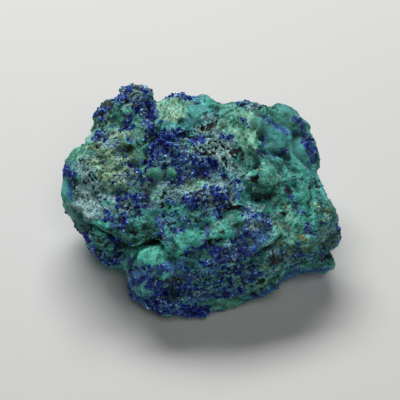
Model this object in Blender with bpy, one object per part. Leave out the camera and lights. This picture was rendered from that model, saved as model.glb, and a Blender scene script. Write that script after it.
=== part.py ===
"""Azurite specimen: one loose lump of azurite grown through malachite and chrysocolla.

Metres, +Z up. The origin is on the flat resting face, under the middle of the lump, and +X is its
long side. Boulders are grown into one mass, which is cleft, bedded, roughened and set down flat.
"""

import math
import random

import bmesh
import bpy
from mathutils import Euler, Matrix, Vector
from mathutils.bvhtree import BVHTree

MM = 0.001
GOLDEN_ANGLE = math.pi * (3 - math.sqrt(5))

# Driving dimensions, in millimetres.
MASS_VOXEL = 0.7
MASS_MIDDLE = (0, 0, 15)
OUTSIDE = 120.0
TRIANGLES = 9200

# How rough it is: flat breaks knocked off each boulder, and the spacing and height of each relief.
BREAKS = {"count": 7, "depth": (0.74, 0.92)}
BEDDING = {"spacing": 6.5, "height": 1.3, "tilt": (12, -14, 0)}
SWELL = {"size": 7.0, "height": 1.6}
CRUMBLE = {"size": 2.6, "height": -1.0}

# The boulders: centre, radii, and turn about X, Y and Z in degrees.
BOULDERS = {
    "core": ((0, -1, 14), (28, 20, 14), (0, 0, 0)),
    "crown": ((-4, 4, 21), (21, 14, 10.5), (4, 3, 10)),
    "right_plateau": ((14, -2, 17), (17, 14, 10.5), (0, 8, -12)),
    "back_slope": ((2, 14, 14), (23, 11, 13), (0, 0, 0)),
    "back_foot": ((1, 7, 7), (20, 12, 8.5), (0, 0, 5)),
    "sole": ((1.5, -2, 3), (25, 16, 5.5), (0, 0, 8)),
    "knob": ((-16.1, 17.4, 31), (5.0, 5.5, 6), (0, 0, 0)),
    "knob_root": ((-14, 13, 26), (6, 7, 7), (0, 0, 0)),
    "shoulder": ((-20.4, 15.0, 27.5), (5.8, 6.4, 6.5), (0, 20, 0)),
    "green_slope": ((-20, 6.6, 25.5), (8, 7.5, 6.5), (0, 10, 0)),
    "left_lobe": ((-26.6, 3.8, 20), (7.6, 8.4, 8.5), (0, 20, 10)),
    "left_foot": ((-26.8, 1.2, 12.6), (6.2, 8, 7.6), (0, -15, 0)),
    "left_shelf": ((-20, -3, 20), (9, 9, 7), (0, 10, 30)),
    "dark_cheek": ((-20.3, -6.9, 9.3), (7.6, 7, 7.6), (0, 0, 20)),
    "front_corner": ((-10.6, -18.0, 9), (8.2, 7, 9), (0, 0, 0)),
    "front_slab": ((1.0, -18.6, 5), (15, 7.5, 5.5), (0, 0, 12)),
    "front_foot": ((-1, -18.6, 10), (10, 7, 9), (0, 0, 10)),
    "front_right": ((12.5, -15, 11), (10, 7.2, 10), (0, 0, 20)),
    "front_upper": ((10, -12, 17), (13, 8.0, 9.5), (0, 0, 16)),
    "right_slab": ((20, -10.5, 6), (13, 5.5, 4.5), (0, 0, 12)),
    "right_foot": ((25.0, -9.5, 11), (9, 7, 8.5), (0, 0, 15)),
    "right_bulge": ((27.5, -7.0, 14), (7.5, 8, 8), (0, 0, 0)),
    "right_shoulder": ((23.4, -1.4, 20), (7.1, 8.6, 7.3), (0, 0, 0)),
    "lip": ((30.0, -11.4, 6.2), (3.8, 3.2, 2.6), (0, 10, 20)),
    "nodule_back": ((20.8, 16.8, 22), (7.0, 6.4, 7), (0, 0, 0)),
    "nodule_side": ((25.3, 11.0, 19), (4.3, 6.5, 6.5), (0, 0, 0)),
    "nodule_mid": ((19.8, 9.0, 25), (4.3, 5, 4.6), (0, 0, 0)),
    "ridge_left": ((-5.6, 14.6, 28.5), (7, 6.5, 6), (0, 0, 0)),
    "ridge_mid": ((1.4, 15.0, 28), (5, 6.5, 6.4), (0, 0, 0)),
    "ridge_right": ((11.2, 14.6, 27.6), (9.2, 6.6, 6), (0, 0, 0)),
    "green_band": ((12.6, 8.5, 27.5), (3.6, 8, 4.2), (0, 0, 28)),
    "overhang": ((16.1, -1.6, 25), (6.2, 5.2, 4.8), (0, 0, 0)),
    "teal_ridge": ((0, -15.2, 22.0), (12, 4.8, 4.6), (0, -18, 25)),
    "teal_step": ((-2, -11, 24), (10, 5, 4), (0, -12, 25)),
    "ledge": ((-13.4, -13.5, 20.5), (6.5, 5.0, 3.5), (0, 0, 10)),
    "teal_bulge": ((-10.9, -18.0, 14), (5.4, 4.5, 4.6), (0, 0, 0)),
}

# Small lumps set into the whole surface: radii, how much longer or flatter, and how far they stand out.
CRUMBS = {
    "count": 260,
    "radius": (1.2, 2.8),
    "longer": (1.0, 1.6),
    "flatter": (0.6, 1.0),
    "proud": (-0.8, -0.4),
}

# Clefts: both ends, half width, half depth, and the way each goes in.
CLEFTS = {
    "cave": ((-16.5, -20.5, 17.4), (-7.5, -18.5, 20.0), 1.3, 5.0, (0, 1, -0.2)),
    "left_cleft": ((-27.5, -9, 6), (-26.0, -4, 20), 0.8, 4.0, (0.6, 1, 0)),
    "band_gap": ((14.6, 13.4, 28.0), (15.8, 4.5, 27.5), 0.8, 3.2, (0, 0.3, -1)),
    "overhang_shadow": ((10, -7.6, 22.0), (21, -7.0, 22.5), 1.1, 4.0, (0, 1, -0.1)),
    "pitted_trench": ((-6, 8.5, 31.5), (5, 13.0, 32.0), 1.5, 3.0, (0, 0.4, -1)),
    "pitted_hole": ((8.2, 4.0, 29), (9.6, 8.5, 30), 1.3, 3.0, (0, 0.4, -1)),
}


def clear():
    for old in list(bpy.data.objects):
        bpy.data.objects.remove(old, do_unlink=True)


def placed(centre, turn):
    """The matrix that turns a shape, in degrees, and moves it to a centre in millimetres."""
    angles = Euler([math.radians(angle) for angle in turn])
    return Matrix.Translation(Vector(centre) * MM) @ angles.to_matrix().to_4x4()


def squeezed(radii):
    """The matrix that makes a ball of radius 1 into an ellipsoid with these radii."""
    return Matrix.Diagonal([radius * MM for radius in radii] + [1.0])


def direction(around, up):
    """The unit vector at an angle around Z, and this far up it."""
    flat = math.sqrt(1 - up * up)
    return Vector((flat * math.cos(around), flat * math.sin(around), up))


def boulder(name, centre, radii, turn, subdivisions=4):
    """One ball with flat breaks knocked off it, squeezed and placed, as a bmesh."""
    dice = random.Random(name)
    mesh = bmesh.new()
    bmesh.ops.create_icosphere(mesh, subdivisions=subdivisions, radius=1.0)
    for _ in range(BREAKS["count"]):
        away = direction(dice.uniform(0, 2 * math.pi), dice.uniform(-0.9, 0.9))
        bmesh.ops.bisect_plane(
            mesh,
            geom=mesh.verts[:] + mesh.edges[:] + mesh.faces[:],
            plane_co=away * dice.uniform(*BREAKS["depth"]),
            plane_no=away,
            clear_outer=True,
        )
        bmesh.ops.holes_fill(mesh, edges=[edge for edge in mesh.edges if edge.is_boundary])
    bmesh.ops.transform(mesh, matrix=placed(centre, turn) @ squeezed(radii), verts=mesh.verts)
    return mesh


def cleft(start, end, half_width, half_depth, inward):
    """A lens-shaped cutter between two points, thin across and deep into the rock."""
    start, end = Vector(start), Vector(end)
    along = (end - start).normalized()
    deep = Vector(inward)
    deep = (deep - along * deep.dot(along)).normalized()
    turn = Matrix((along, deep, along.cross(deep))).transposed().to_4x4()
    middle = Matrix.Translation((start + end) / 2 * MM)
    mesh = bmesh.new()
    ball = bmesh.ops.create_icosphere(mesh, subdivisions=4, radius=1.0)["verts"]
    radii = ((end - start).length / 2, half_depth, half_width)
    bmesh.ops.transform(mesh, matrix=middle @ turn @ squeezed(radii), verts=ball)
    return mesh


def joined(meshes, name):
    """A mesh that holds copies of several bmeshes side by side."""
    data = bpy.data.meshes.new(name)
    both = bmesh.new()
    for mesh in meshes:
        mesh.to_mesh(data)
        both.from_mesh(data)
    both.to_mesh(data)
    both.free()
    return data


def crumbs(boulders):
    """Small broken lumps set into the surface of the boulders, spread evenly around them."""
    body = bmesh.new()
    body.from_mesh(joined(boulders, "inside"))
    surface = BVHTree.FromBMesh(body)
    body.free()
    dice = random.Random("small lumps")
    made = []
    for number in range(CRUMBS["count"]):
        away = direction(number * GOLDEN_ANGLE, 1 - 2 * (number + 0.5) / CRUMBS["count"])
        far_out = (Vector(MASS_MIDDLE) + away * OUTSIDE) * MM
        spot, normal = surface.ray_cast(far_out, -away)[:2]
        radius = dice.uniform(*CRUMBS["radius"])
        centre = spot / MM + normal * radius * dice.uniform(*CRUMBS["proud"])
        radii = (radius * dice.uniform(*CRUMBS["longer"]), radius, radius * dice.uniform(*CRUMBS["flatter"]))
        turn = [dice.uniform(0, 360) for _ in range(3)]
        made.append(boulder(f"crumb {number}", centre, radii, turn, subdivisions=3))
    return made


def linked(name, data, parent=None):
    made = bpy.data.objects.new(name, data)
    bpy.context.scene.collection.objects.link(made)
    made.parent = parent
    return made


def cutter(name, data, parent=None):
    """An object that only cuts, and is no part of the specimen."""
    made = linked(name, data, parent)
    made.hide_render = True
    made.display_type = "WIRE"
    return made


def ground_block():
    """A block whose top is the surface that the specimen rests on."""
    mesh = bmesh.new()
    bmesh.ops.create_cube(mesh, size=OUTSIDE * MM)
    bmesh.ops.translate(mesh, vec=(0, 0, -OUTSIDE * MM / 2), verts=mesh.verts)
    return cutter("ground_block", joined([mesh], "ground_block"))


def bedding_frame(lump):
    """An empty in whose space the wood texture's bands, which run across (1, 1, 1), lie as tilted beds."""
    frame = linked("bedding_frame", None, lump)
    band = 2 * math.pi / (10 * math.sqrt(3))
    upright = Vector((1, 1, 1)).rotation_difference(Vector((0, 0, 1))).to_matrix().to_4x4()
    size = Matrix.Scale(BEDDING["spacing"] * MM / band, 4)
    frame.matrix_local = placed((0, 0, 0), BEDDING["tilt"]) @ upright @ size
    return frame


def voxel_remesh(lump, name):
    """Grows whatever the object holds into one closed skin."""
    skin = lump.modifiers.new(name, "REMESH")
    skin.mode = "VOXEL"
    skin.voxel_size = MASS_VOXEL * MM


def cut(lump, name, tool):
    taken = lump.modifiers.new(name, "BOOLEAN")
    taken.operation = "DIFFERENCE"
    taken.solver = "EXACT"
    taken.object = tool


def relief(lump, name, kind, height, size, mid_level=0.5, frame=None, **settings):
    """Pushes the surface in and out with a noise texture."""
    texture = bpy.data.textures.new(name, kind)
    texture.noise_scale = size
    for setting, value in settings.items():
        setattr(texture, setting, value)
    pushed = lump.modifiers.new(name, "DISPLACE")
    pushed.texture = texture
    pushed.strength = height * MM
    pushed.mid_level = mid_level
    if frame:
        pushed.texture_coords = "OBJECT"
        pushed.texture_coords_object = frame


def evaluated_mesh(lump):
    bpy.context.view_layer.update()
    return lump.evaluated_get(bpy.context.evaluated_depsgraph_get()).data


def rock_material():
    """Malachite green, the colour of most of the surface."""
    made = bpy.data.materials.new("azurite_malachite")
    made.use_nodes = True
    shader = made.node_tree.nodes["Principled BSDF"]
    shader.inputs["Base Color"].default_value = (0.05, 0.17, 0.20, 1.0)
    shader.inputs["Roughness"].default_value = 0.7
    shader.inputs["Metallic"].default_value = 0.0
    return made


def specimen():
    """The whole lump, with its modifiers left on it."""
    boulders = [boulder(name, *shape) for name, shape in BOULDERS.items()]
    lump = linked("azurite_specimen", joined(boulders + crumbs(boulders), "azurite_specimen"))
    lump.data.materials.append(rock_material())

    voxel_remesh(lump, "grow together")
    clefts = joined([cleft(*shape) for shape in CLEFTS.values()], "clefts")
    cut(lump, "clefts", cutter("cleft_cutters", clefts, lump))
    voxel_remesh(lump, "heal the cuts")
    weathered = lump.modifiers.new("weathered", "SMOOTH")
    weathered.factor = 0.5
    weathered.iterations = 3

    beds = bedding_frame(lump)
    relief(lump, "bedding", "WOOD", BEDDING["height"], 0.4, 0.7, beds, wood_type="BANDNOISE", turbulence=4.0)
    relief(lump, "swell", "CLOUDS", SWELL["height"], SWELL["size"] * MM)
    relief(lump, "crumble", "CLOUDS", CRUMBLE["height"], CRUMBLE["size"] * MM, noise_basis="VORONOI_F1")

    squares = len(evaluated_mesh(lump).polygons)
    lighter = lump.modifiers.new("lighter", "DECIMATE")
    lighter.ratio = TRIANGLES / (2 * squares)
    cut(lump, "resting face", ground_block())
    return lump


def centre_over_origin(lump):
    """Moves the lump sideways, so that the middle of its box stands on the origin."""
    corners = [vertex.co for vertex in evaluated_mesh(lump).vertices]
    for axis in (0, 1):
        values = [corner[axis] for corner in corners]
        lump.location[axis] = -(min(values) + max(values)) / 2


clear()
centre_over_origin(specimen())
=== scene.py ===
import math

import bmesh
import bpy
import numpy as np
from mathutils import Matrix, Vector, noise


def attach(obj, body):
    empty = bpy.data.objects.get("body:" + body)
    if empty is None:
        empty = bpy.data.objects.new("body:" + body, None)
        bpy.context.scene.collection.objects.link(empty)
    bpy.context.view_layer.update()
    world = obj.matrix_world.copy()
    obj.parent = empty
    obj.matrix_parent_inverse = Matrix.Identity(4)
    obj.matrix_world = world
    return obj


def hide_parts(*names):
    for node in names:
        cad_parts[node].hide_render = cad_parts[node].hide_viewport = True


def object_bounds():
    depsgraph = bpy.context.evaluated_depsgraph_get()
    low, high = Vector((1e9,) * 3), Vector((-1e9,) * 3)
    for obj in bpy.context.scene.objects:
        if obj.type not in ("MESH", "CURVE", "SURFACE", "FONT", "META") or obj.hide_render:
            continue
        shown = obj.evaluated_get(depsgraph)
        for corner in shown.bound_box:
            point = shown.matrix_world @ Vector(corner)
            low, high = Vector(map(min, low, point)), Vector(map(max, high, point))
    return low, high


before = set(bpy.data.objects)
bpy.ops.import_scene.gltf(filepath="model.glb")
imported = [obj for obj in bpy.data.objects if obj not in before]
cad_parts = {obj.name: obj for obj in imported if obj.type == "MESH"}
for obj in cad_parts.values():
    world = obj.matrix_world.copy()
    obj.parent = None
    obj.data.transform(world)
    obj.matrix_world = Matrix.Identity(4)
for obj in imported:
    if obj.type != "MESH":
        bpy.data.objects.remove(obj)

mm = 0.001
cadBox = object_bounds()
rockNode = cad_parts["azurite_specimen"]
print("azurite specimen: frame loaded, lump", [round(side / mm, 1) for side in cadBox[1] - cadBox[0]], "mm")

# the camera: places on the rock are given in its frame below, across and down in pixels
camera = {
    "frame": 400,                       # pixels a side
    "elevation": 50,                    # degrees above level
    "lens": 150, "sensor": 36,
    "distance": 409.3,                  # mm
    "aim": (-0.24, 1.58, 15.77),        # mm
}


def linked(name, data):
    made = bpy.data.objects.new(name, data)
    bpy.context.scene.collection.objects.link(made)
    return made


def makeCamera():
    data = bpy.data.cameras.new("camera")
    data.lens = camera["lens"]
    data.sensor_width = camera["sensor"]
    data.clip_start = 0.01
    made = linked("camera", data)
    up = math.radians(camera["elevation"])
    back = Vector((0, -math.cos(up), math.sin(up)))
    made.location = (Vector(camera["aim"]) + back * camera["distance"]) * mm
    made.rotation_euler = (math.pi / 2 - up, 0, 0)
    bpy.context.scene.camera = made
    bpy.context.view_layer.update()
    return made


view = makeCamera()
towardsCamera = view.matrix_world.to_3x3() @ Vector((0, 0, 1))
half = camera["frame"] / 2
pixelsPerSlope = camera["frame"] * camera["lens"] / camera["sensor"]
pixel = camera["distance"] * mm / pixelsPerSlope            # what a pixel covers on the rock


def toPicture(points):
    into = np.array(view.matrix_world.inverted())
    local = points @ into[:3, :3].T + into[:3, 3]
    across = half + pixelsPerSlope * local[:, 0] / -local[:, 2]
    down = half + pixelsPerSlope * local[:, 1] / local[:, 2]
    return np.stack([across, down], axis=1)


# the rock: the lump grown together with its nodules
rock = {
    "grid": 0.39 * mm,                  # size of the rock's mesh
    "smoothing": 4,
    "sunk": 0.20 * mm,                  # how far the rock stays under the crystals on it
    "margin": 0.7 * mm,                 # where it begins to draw back from the lump's outer bounds
    "waver": 1.2,                       # how far the outline of a nodule strays, pixels
    "rim": 0.18,                        # depth of the groove round a nodule, as a share of its height
    "limit": 5.5,                       # what nodules and swells together can raise or lower, mm
    "evened": 2,                        # rounds of averaging once it is reshaped
    "standing": 0.42,                   # how far a point may stand out from those around it, mm
}

# nodules: place, half width and half height in pixels, turn in degrees, and how far each stands out in mm
nodules = {
    "greenBack": (281, 117, 27, 13, 20, 1.2),
    "tealSide": (275, 138, 14, 17, 0, 1.5),
    "tealOuter": (302, 155, 14, 17, -12, 2.0),
    "overhangLump": (262, 179, 18, 18, 0, 2.0),
    "overhangSide": (250, 188, 9, 10, 0, 0.8),
    "overhangTop": (270, 171, 9, 7, 0, 0.8),
    "oliveLobe": (251, 153, 10, 14, 0, 2.2),
    "mintNodule": (248, 115, 9, 7, 0, 1.6),
    "mintBetween": (259, 127, 6, 12, 0, 1.2),
    "paleRidge": (168, 110, 18, 14, 0, 1.3),
    "paleRidgeEnd": (184, 112, 9, 11, 0, 0.7),
    "tealRidge": (204, 108, 13, 15, 0, 1.2),
    "mintBand": (239, 132, 20, 9, 42, 1.8),
    "mintBandTop": (230, 108, 13, 7, 20, 0.9),
    "greenNodule": (136, 158, 10, 8, 0, 1.8),
    "greenArch": (131, 143, 15, 5, 8, 1.2),
    "oliveLeft": (115, 187, 13, 7, 12, 1.2),
    "mossLeft": (103, 150, 9, 7, 0, 1.0),
    "mossMiddle": (112, 163, 9, 8, 0, 1.0),
    "mossLow": (99, 170, 9, 7, 0, 0.9),
    "mossRight": (126, 172, 8, 7, 0, 0.9),
    "crustLeft": (84, 160, 11, 9, 0, 1.0),
    "crustLow": (86, 202, 10, 9, 0, 1.0),
    "crustFoot": (97, 217, 8, 9, 0, 0.9),
    "crustSide": (112, 204, 10, 7, 0, 0.9),
    "twinLeft": (156, 173, 8, 8, 0, 1.8),
    "twinRight": (172, 173, 6.5, 8, 0, 1.7),
    "knobBead": (127, 109, 7, 7, 0, 1.0),
    "knobGreen": (108, 112, 10, 8, 0, 1.0),
    "leftLobe": (63, 194, 8, 14, 0, 0.8),
    "leftLobeLow": (76, 219, 11, 14, -15, 0.8),
    "bulgeLow": (152, 262, 8, 7, 0, 1.2),
    "bulgeSmall": (165, 257, 5, 4, 0, 0.9),
    "bulgeLeft": (137, 251, 12, 7, 0, 0.9),
    "ridgeLow": (188, 242, 17, 10, -28, 1.3),
    "ridgeHigh": (220, 228, 20, 8, -32, 1.2),
    "ridgeTip": (238, 217, 9, 6, -30, 1.0),
    "chipGreen": (196, 215, 6, 5, 0, 1.2),
    "chipTeal": (217, 177, 7, 4, 0, 0.8),
    "chipMint": (154, 196, 8, 9, 0, 0.9),
    "bandLump": (200, 184, 12, 6, -14, 0.8),
    "frontBead": (142, 290, 8, 7, 0, 0.8),
    "frontGreen": (222, 304, 18, 6, -16, 0.9),
    "plateauLump": (296, 178, 15, 13, 0, 0.9),
    "plateauMiddle": (300, 205, 14, 12, 0, 1.0),
    "plateauLow": (286, 228, 14, 11, 0, 1.0),
    "plateauRight": (322, 216, 13, 13, 0, 0.9),
    "blueLump": (255, 224, 14, 13, 0, 0.9),
}

# pulls: place, how far it reaches, and its shift to the right and down, all in pixels
pulls = {
    "knobRight": (150, 92, 14, 4, -1),
    "ridgeFringe": (182, 95, 14, 0, -4.5),
    "leftShoulder": (90, 134, 12, -4, -2),
    "leftBulge": (60, 190, 18, -3.8, 0),
    "leftLobe": (62, 196, 9, -4.5, 0),
    "leftFoot": (84, 242, 15, -4, 2),
    "leftLobeLow": (72, 221, 8, 3, -1),
    "frontLeft": (125, 276, 15, -4, 2),
    "frontLow": (175, 316, 18, 0, 6),
    "frontMiddle": (207, 315, 9, 0, -4),
    "frontGreen": (231, 308, 12, 0, -3),
    "frontRight": (273, 290, 20, 1, 5),
    "rightTip": (339, 226, 11, 5, 0),
    "rightShoulder": (316, 166, 15, 3, 0),
    "topRight": (309, 129, 11, 2.5, -1),
    "topMiddle": (261, 104, 12, 0, -1),
    "topBack": (275, 107, 9, 0, -6),
    "knobCurl": (120, 88, 3, -8, 0.5),
    "fringeTip": (177, 90, 6, 0, 3.5),
    "rightSide": (327, 195, 10, 2, 0),
    "caveRight": (160, 251, 13, 0, -8),
    "caveMiddle": (145, 248, 10, 0, -3),
    "bulgeFoot": (152, 267, 9, 0, 5),
}

# swells: place, how far it reaches in pixels, and how far it comes towards the camera in mm
swells = [
    (108, 107, 6, 0.9), (126, 107, 6, -0.9), (130, 107, 8, -0.6), (178, 103, 14, -1.6), (190, 105, 6, 0.9),
    (208, 107, 11, -1.4), (254, 107, 6, -0.8), (113, 115, 15, -0.8), (144, 119, 8, -0.7),
    (172, 115, 11, -0.9), (176, 111, 8, -0.6), (198, 110, 15, -0.9), (206, 111, 8, -0.9),
    (206, 117, 6, -0.4), (233, 110, 15, 0.9), (246, 114, 7, -2.5), (253, 110, 15, -0.9),
    (253, 109, 11, -0.9), (256, 115, 6, 0.8), (266, 109, 6, 0.9), (289, 118, 11, -1.8), (294, 117, 8, -0.5),
    (104, 131, 8, -0.6), (142, 127, 11, -0.9), (160, 121, 8, 0.8), (166, 130, 11, 0.9), (166, 129, 8, 0.9),
    (178, 126, 19, 3.4), (190, 129, 6, 0.7), (203, 130, 15, -0.6), (205, 122, 13, 3), (209, 129, 10, 0.4),
    (216, 129, 6, -0.9), (222, 127, 6, -0.9), (226, 125, 6, -0.9), (228, 131, 6, 0.8), (244, 131, 8, -0.7),
    (252, 128, 11, 2), (254, 127, 8, -0.9), (264, 123, 8, -0.9), (266, 126, 9, 1.8), (272, 121, 8, -1.8),
    (94, 143, 7, -0.7), (103, 135, 15, -0.5), (110, 137, 8, -0.8), (112, 143, 6, 0.9), (114, 139, 6, -0.8),
    (117, 137, 7, -0.9), (132, 135, 8, -0.9), (144, 137, 6, 0.9), (184, 135, 11, 1.4), (186, 143, 6, -0.9),
    (196, 138, 25, 2), (202, 133, 8, -0.8), (214, 143, 8, 0.7), (222, 134, 9, 1.2), (222, 139, 8, 0.5),
    (226, 135, 6, 0.9), (241, 133, 11, -1.8), (244, 141, 8, 0.8), (250, 139, 8, 0.9), (268, 137, 8, 0.5),
    (272, 135, 8, 1.8), (103, 150, 15, -1.8), (113, 150, 15, -0.9), (140, 145, 8, 0.9),
    (158, 150, 15, -0.9), (160, 148, 11, -2.7), (188, 149, 6, 0.6), (224, 153, 6, -0.5),
    (229, 152, 16, 2.2), (240, 144, 10, 1.8), (250, 146, 6, -0.8), (266, 149, 8, -0.5), (291, 155, 8, 1.8),
    (311, 153, 8, -0.6), (82, 162, 6, -1.4), (116, 163, 8, -0.9), (140, 163, 8, -0.9), (158, 160, 15, -0.9),
    (187, 160, 11, 0.9), (243, 164, 13, 2.8), (244, 164, 8, -1.6), (246, 157, 6, 0.9), (248, 160, 15, 0.9),
    (250, 158, 9, 2.2), (251, 163, 8, 2.2), (264, 163, 6, 0.9), (278, 163, 6, -0.7), (108, 175, 8, 0.9),
    (112, 176, 13, 1.6), (126, 173, 8, -0.9), (128, 175, 6, -0.9), (130, 173, 6, -0.7), (133, 170, 15, 0.6),
    (142, 177, 8, 0.9), (158, 175, 15, -0.8), (158, 173, 8, -1.8), (163, 175, 15, -0.9),
    (186, 179, 6, -0.6), (206, 175, 8, -0.8), (228, 169, 6, 0.5), (240, 179, 6, 0.9), (242, 175, 6, 0.9),
    (250, 178, 8, 0.8), (250, 168, 6, 1.8), (288, 170, 15, -1.5), (70, 182, 8, -1.1), (78, 190, 15, -0.8),
    (109, 187, 11, -0.9), (112, 190, 11, -0.8), (114, 187, 8, -0.8), (127, 187, 11, 0.6),
    (148, 190, 11, -0.7), (148, 184, 11, -0.6), (148, 183, 8, -0.6), (190, 183, 8, -0.8),
    (194, 181, 8, -0.9), (194, 191, 8, 0.9), (206, 187, 6, 0.8), (212, 189, 8, 0.9), (220, 189, 6, 0.9),
    (222, 187, 6, 0.9), (242, 187, 6, 0.9), (243, 190, 15, 0.9), (292, 183, 7, -1.6), (300, 183, 8, -0.9),
    (304, 181, 8, -0.9), (88, 193, 11, -0.5), (108, 203, 6, -0.8), (132, 195, 8, 0.8), (134, 202, 11, 1.6),
    (136, 197, 6, 0.5), (150, 195, 8, -0.9), (154, 197, 8, -0.5), (168, 200, 17, 1.8), (184, 195, 8, 0.8),
    (194, 196, 12, 1.2), (194, 195, 6, 1.2), (198, 192, 6, 1.8), (234, 203, 6, 0.6), (260, 197, 8, -0.9),
    (262, 199, 8, -0.9), (264, 203, 8, -0.9), (277, 193, 11, 0.5), (282, 194, 8, 1.6), (294, 192, 6, 1.8),
    (298, 201, 8, -0.5), (316, 202, 11, 0.9), (76, 214, 11, 1.8), (76, 211, 6, 1.4), (78, 210, 15, 0.7),
    (84, 212, 8, 0.9), (86, 213, 18, 3.4), (86, 205, 6, -0.8), (106, 213, 6, 0.9), (109, 206, 12, 2.4),
    (110, 205, 6, -1), (118, 214, 11, 0.9), (120, 213, 8, 0.9), (126, 213, 8, 0.6), (152, 212, 9, 1.2),
    (174, 213, 8, -0.6), (199, 205, 11, -0.9), (204, 215, 6, 0.7), (212, 215, 6, 0.9), (226, 214, 11, -0.9),
    (226, 215, 8, -0.9), (232, 215, 8, -0.8), (236, 205, 8, 0.8), (236, 208, 7, -1.2), (256, 213, 6, 0.9),
    (262, 207, 9, 1.3), (262, 213, 6, 0.9), (298, 208, 11, -0.9), (300, 205, 8, -0.8), (314, 209, 6, 0.9),
    (316, 207, 8, 0.9), (94, 221, 8, -0.9), (158, 221, 6, 0.7), (172, 217, 8, -0.8), (187, 226, 11, 0.6),
    (198, 217, 8, 0.8), (209, 224, 7, -3.6), (228, 223, 6, 0.9), (250, 217, 6, 0.9), (254, 227, 8, -0.7),
    (260, 223, 8, -0.4), (282, 226, 7, -1.2), (286, 223, 8, -0.8), (301, 223, 11, 0.7), (304, 227, 8, 0.8),
    (308, 224, 18, 3), (96, 233, 6, 0.9), (98, 235, 8, 0.8), (102, 230, 11, 2), (103, 235, 11, 1.8),
    (103, 235, 15, 0.9), (108, 230, 15, 1.8), (149, 229, 8, -1.6), (157, 229, 11, 0.9), (186, 230, 9, -0.7),
    (224, 235, 9, 0.9), (228, 230, 15, -0.9), (244, 237, 6, -0.5), (257, 236, 12, 1.2), (286, 237, 8, 0.6),
    (294, 231, 8, 0.7), (334, 231, 6, -0.9), (98, 245, 15, 0.9), (103, 240, 15, 0.9), (122, 241, 6, -1.8),
    (124, 243, 6, -0.9), (131, 250, 7, 0.5), (133, 240, 15, -0.9), (135, 245, 6, -1.6), (148, 249, 6, 0.9),
    (150, 247, 6, 0.9), (152, 250, 7, 3.5), (152, 245, 6, 0.9), (156, 242, 6, -1.6), (158, 247, 6, 0.9),
    (162, 243, 6, 1.8), (172, 249, 8, 0.9), (182, 243, 8, -0.9), (185, 251, 9, 1.2), (187, 242, 11, -1.6),
    (196, 243, 8, -0.9), (205, 243, 9, 1), (228, 250, 15, 0.9), (228, 245, 6, 0.9), (229, 250, 11, 0.9),
    (229, 250, 8, 3), (246, 249, 6, 0.9), (249, 250, 8, 0.8), (266, 245, 6, -0.7), (272, 251, 6, 0.9),
    (274, 249, 6, 0.7), (282, 243, 8, 0.8), (298, 245, 15, 3.6), (303, 240, 15, 0.9), (308, 245, 15, 0.9),
    (125, 256, 7, 0.8), (127, 252, 7, 0.8), (128, 257, 7, 1), (135, 257, 9, 3.4), (136, 254, 7, 1.3),
    (140, 252, 8, 2.4), (146, 254, 8, 1.2), (148, 260, 15, 2.4), (151, 262, 11, -0.9), (152, 256, 9, -1.1),
    (154, 259, 8, -0.8), (160, 262, 8, 1.5), (168, 257, 6, -0.6), (168, 263, 6, 0.7), (202, 261, 8, 0.8),
    (204, 259, 8, 0.6), (205, 259, 11, 0.6), (208, 260, 15, 0.9), (213, 255, 15, 0.9), (213, 260, 15, 0.8),
    (218, 255, 15, 0.8), (235, 253, 11, 0.8), (265, 262, 11, 0.9), (268, 260, 15, 0.8), (272, 255, 11, 2.6),
    (278, 255, 15, 1.8), (124, 265, 11, 0.9), (148, 265, 8, 0.8), (165, 268, 8, 0.8), (170, 270, 9, 1.2),
    (171, 267, 8, 1), (173, 275, 15, 0.9), (178, 270, 15, 0.9), (258, 265, 15, 0.8), (143, 285, 15, 0.9),
    (148, 283, 8, 1.5), (166, 281, 7, 1.7), (168, 278, 7, 1.8), (172, 297, 8, 1.2), (172, 294, 7, -3.6),
]

# where the coating is smooth: place and how far it reaches, in pixels
smoothSpots = [
    (232, 122, 10), (241, 138, 13), (251, 154, 11), (248, 114, 9), (228, 107, 8), (168, 110, 14),
    (203, 106, 12), (276, 137, 15), (302, 153, 15), (282, 115, 16), (62, 194, 10), (76, 219, 12),
    (262, 177, 14), (156, 174, 8), (173, 174, 7), (136, 158, 8), (190, 240, 12), (212, 229, 12),
    (232, 218, 9), (312, 180, 16), (296, 208, 14),
]


def pointsOf(data):
    points = np.empty(len(data.vertices) * 3)
    data.vertices.foreach_get("co", points)
    return points.reshape(-1, 3)


def normalsOf(data):
    normals = np.empty(len(data.vertices) * 3)
    data.vertex_normals.foreach_get("vector", normals)
    return normals.reshape(-1, 3)


def softNoise(points, size, seed=0, octaves=3):
    shift = Vector((seed * 7.3, seed * 3.1, seed * 5.7))
    return np.array([noise.fractal(Vector(point) / size + shift, 0.8, 2.0, octaves) for point in points])


def cells(points, size, seed=0):
    stray = np.stack([softNoise(points, size, seed + side, 2) for side in (1, 2, 3)], axis=1)
    strayed = points + 0.25 * size * stray
    shift = Vector((seed * 4.7, seed * 9.1, seed * 2.3))
    found = [noise.voronoi(Vector(point) / size + shift)[0] for point in strayed]
    return np.array([near[0] for near in found]), np.array([near[1] - near[0] for near in found])


def ramp(values, low, high):
    share = np.clip((values - low) / (high - low), 0, 1)
    return share * share * (3 - 2 * share)


def turnBy(degrees):
    angle = math.radians(degrees)
    return np.array(((math.cos(angle), math.sin(angle)), (-math.sin(angle), math.cos(angle))))


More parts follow.
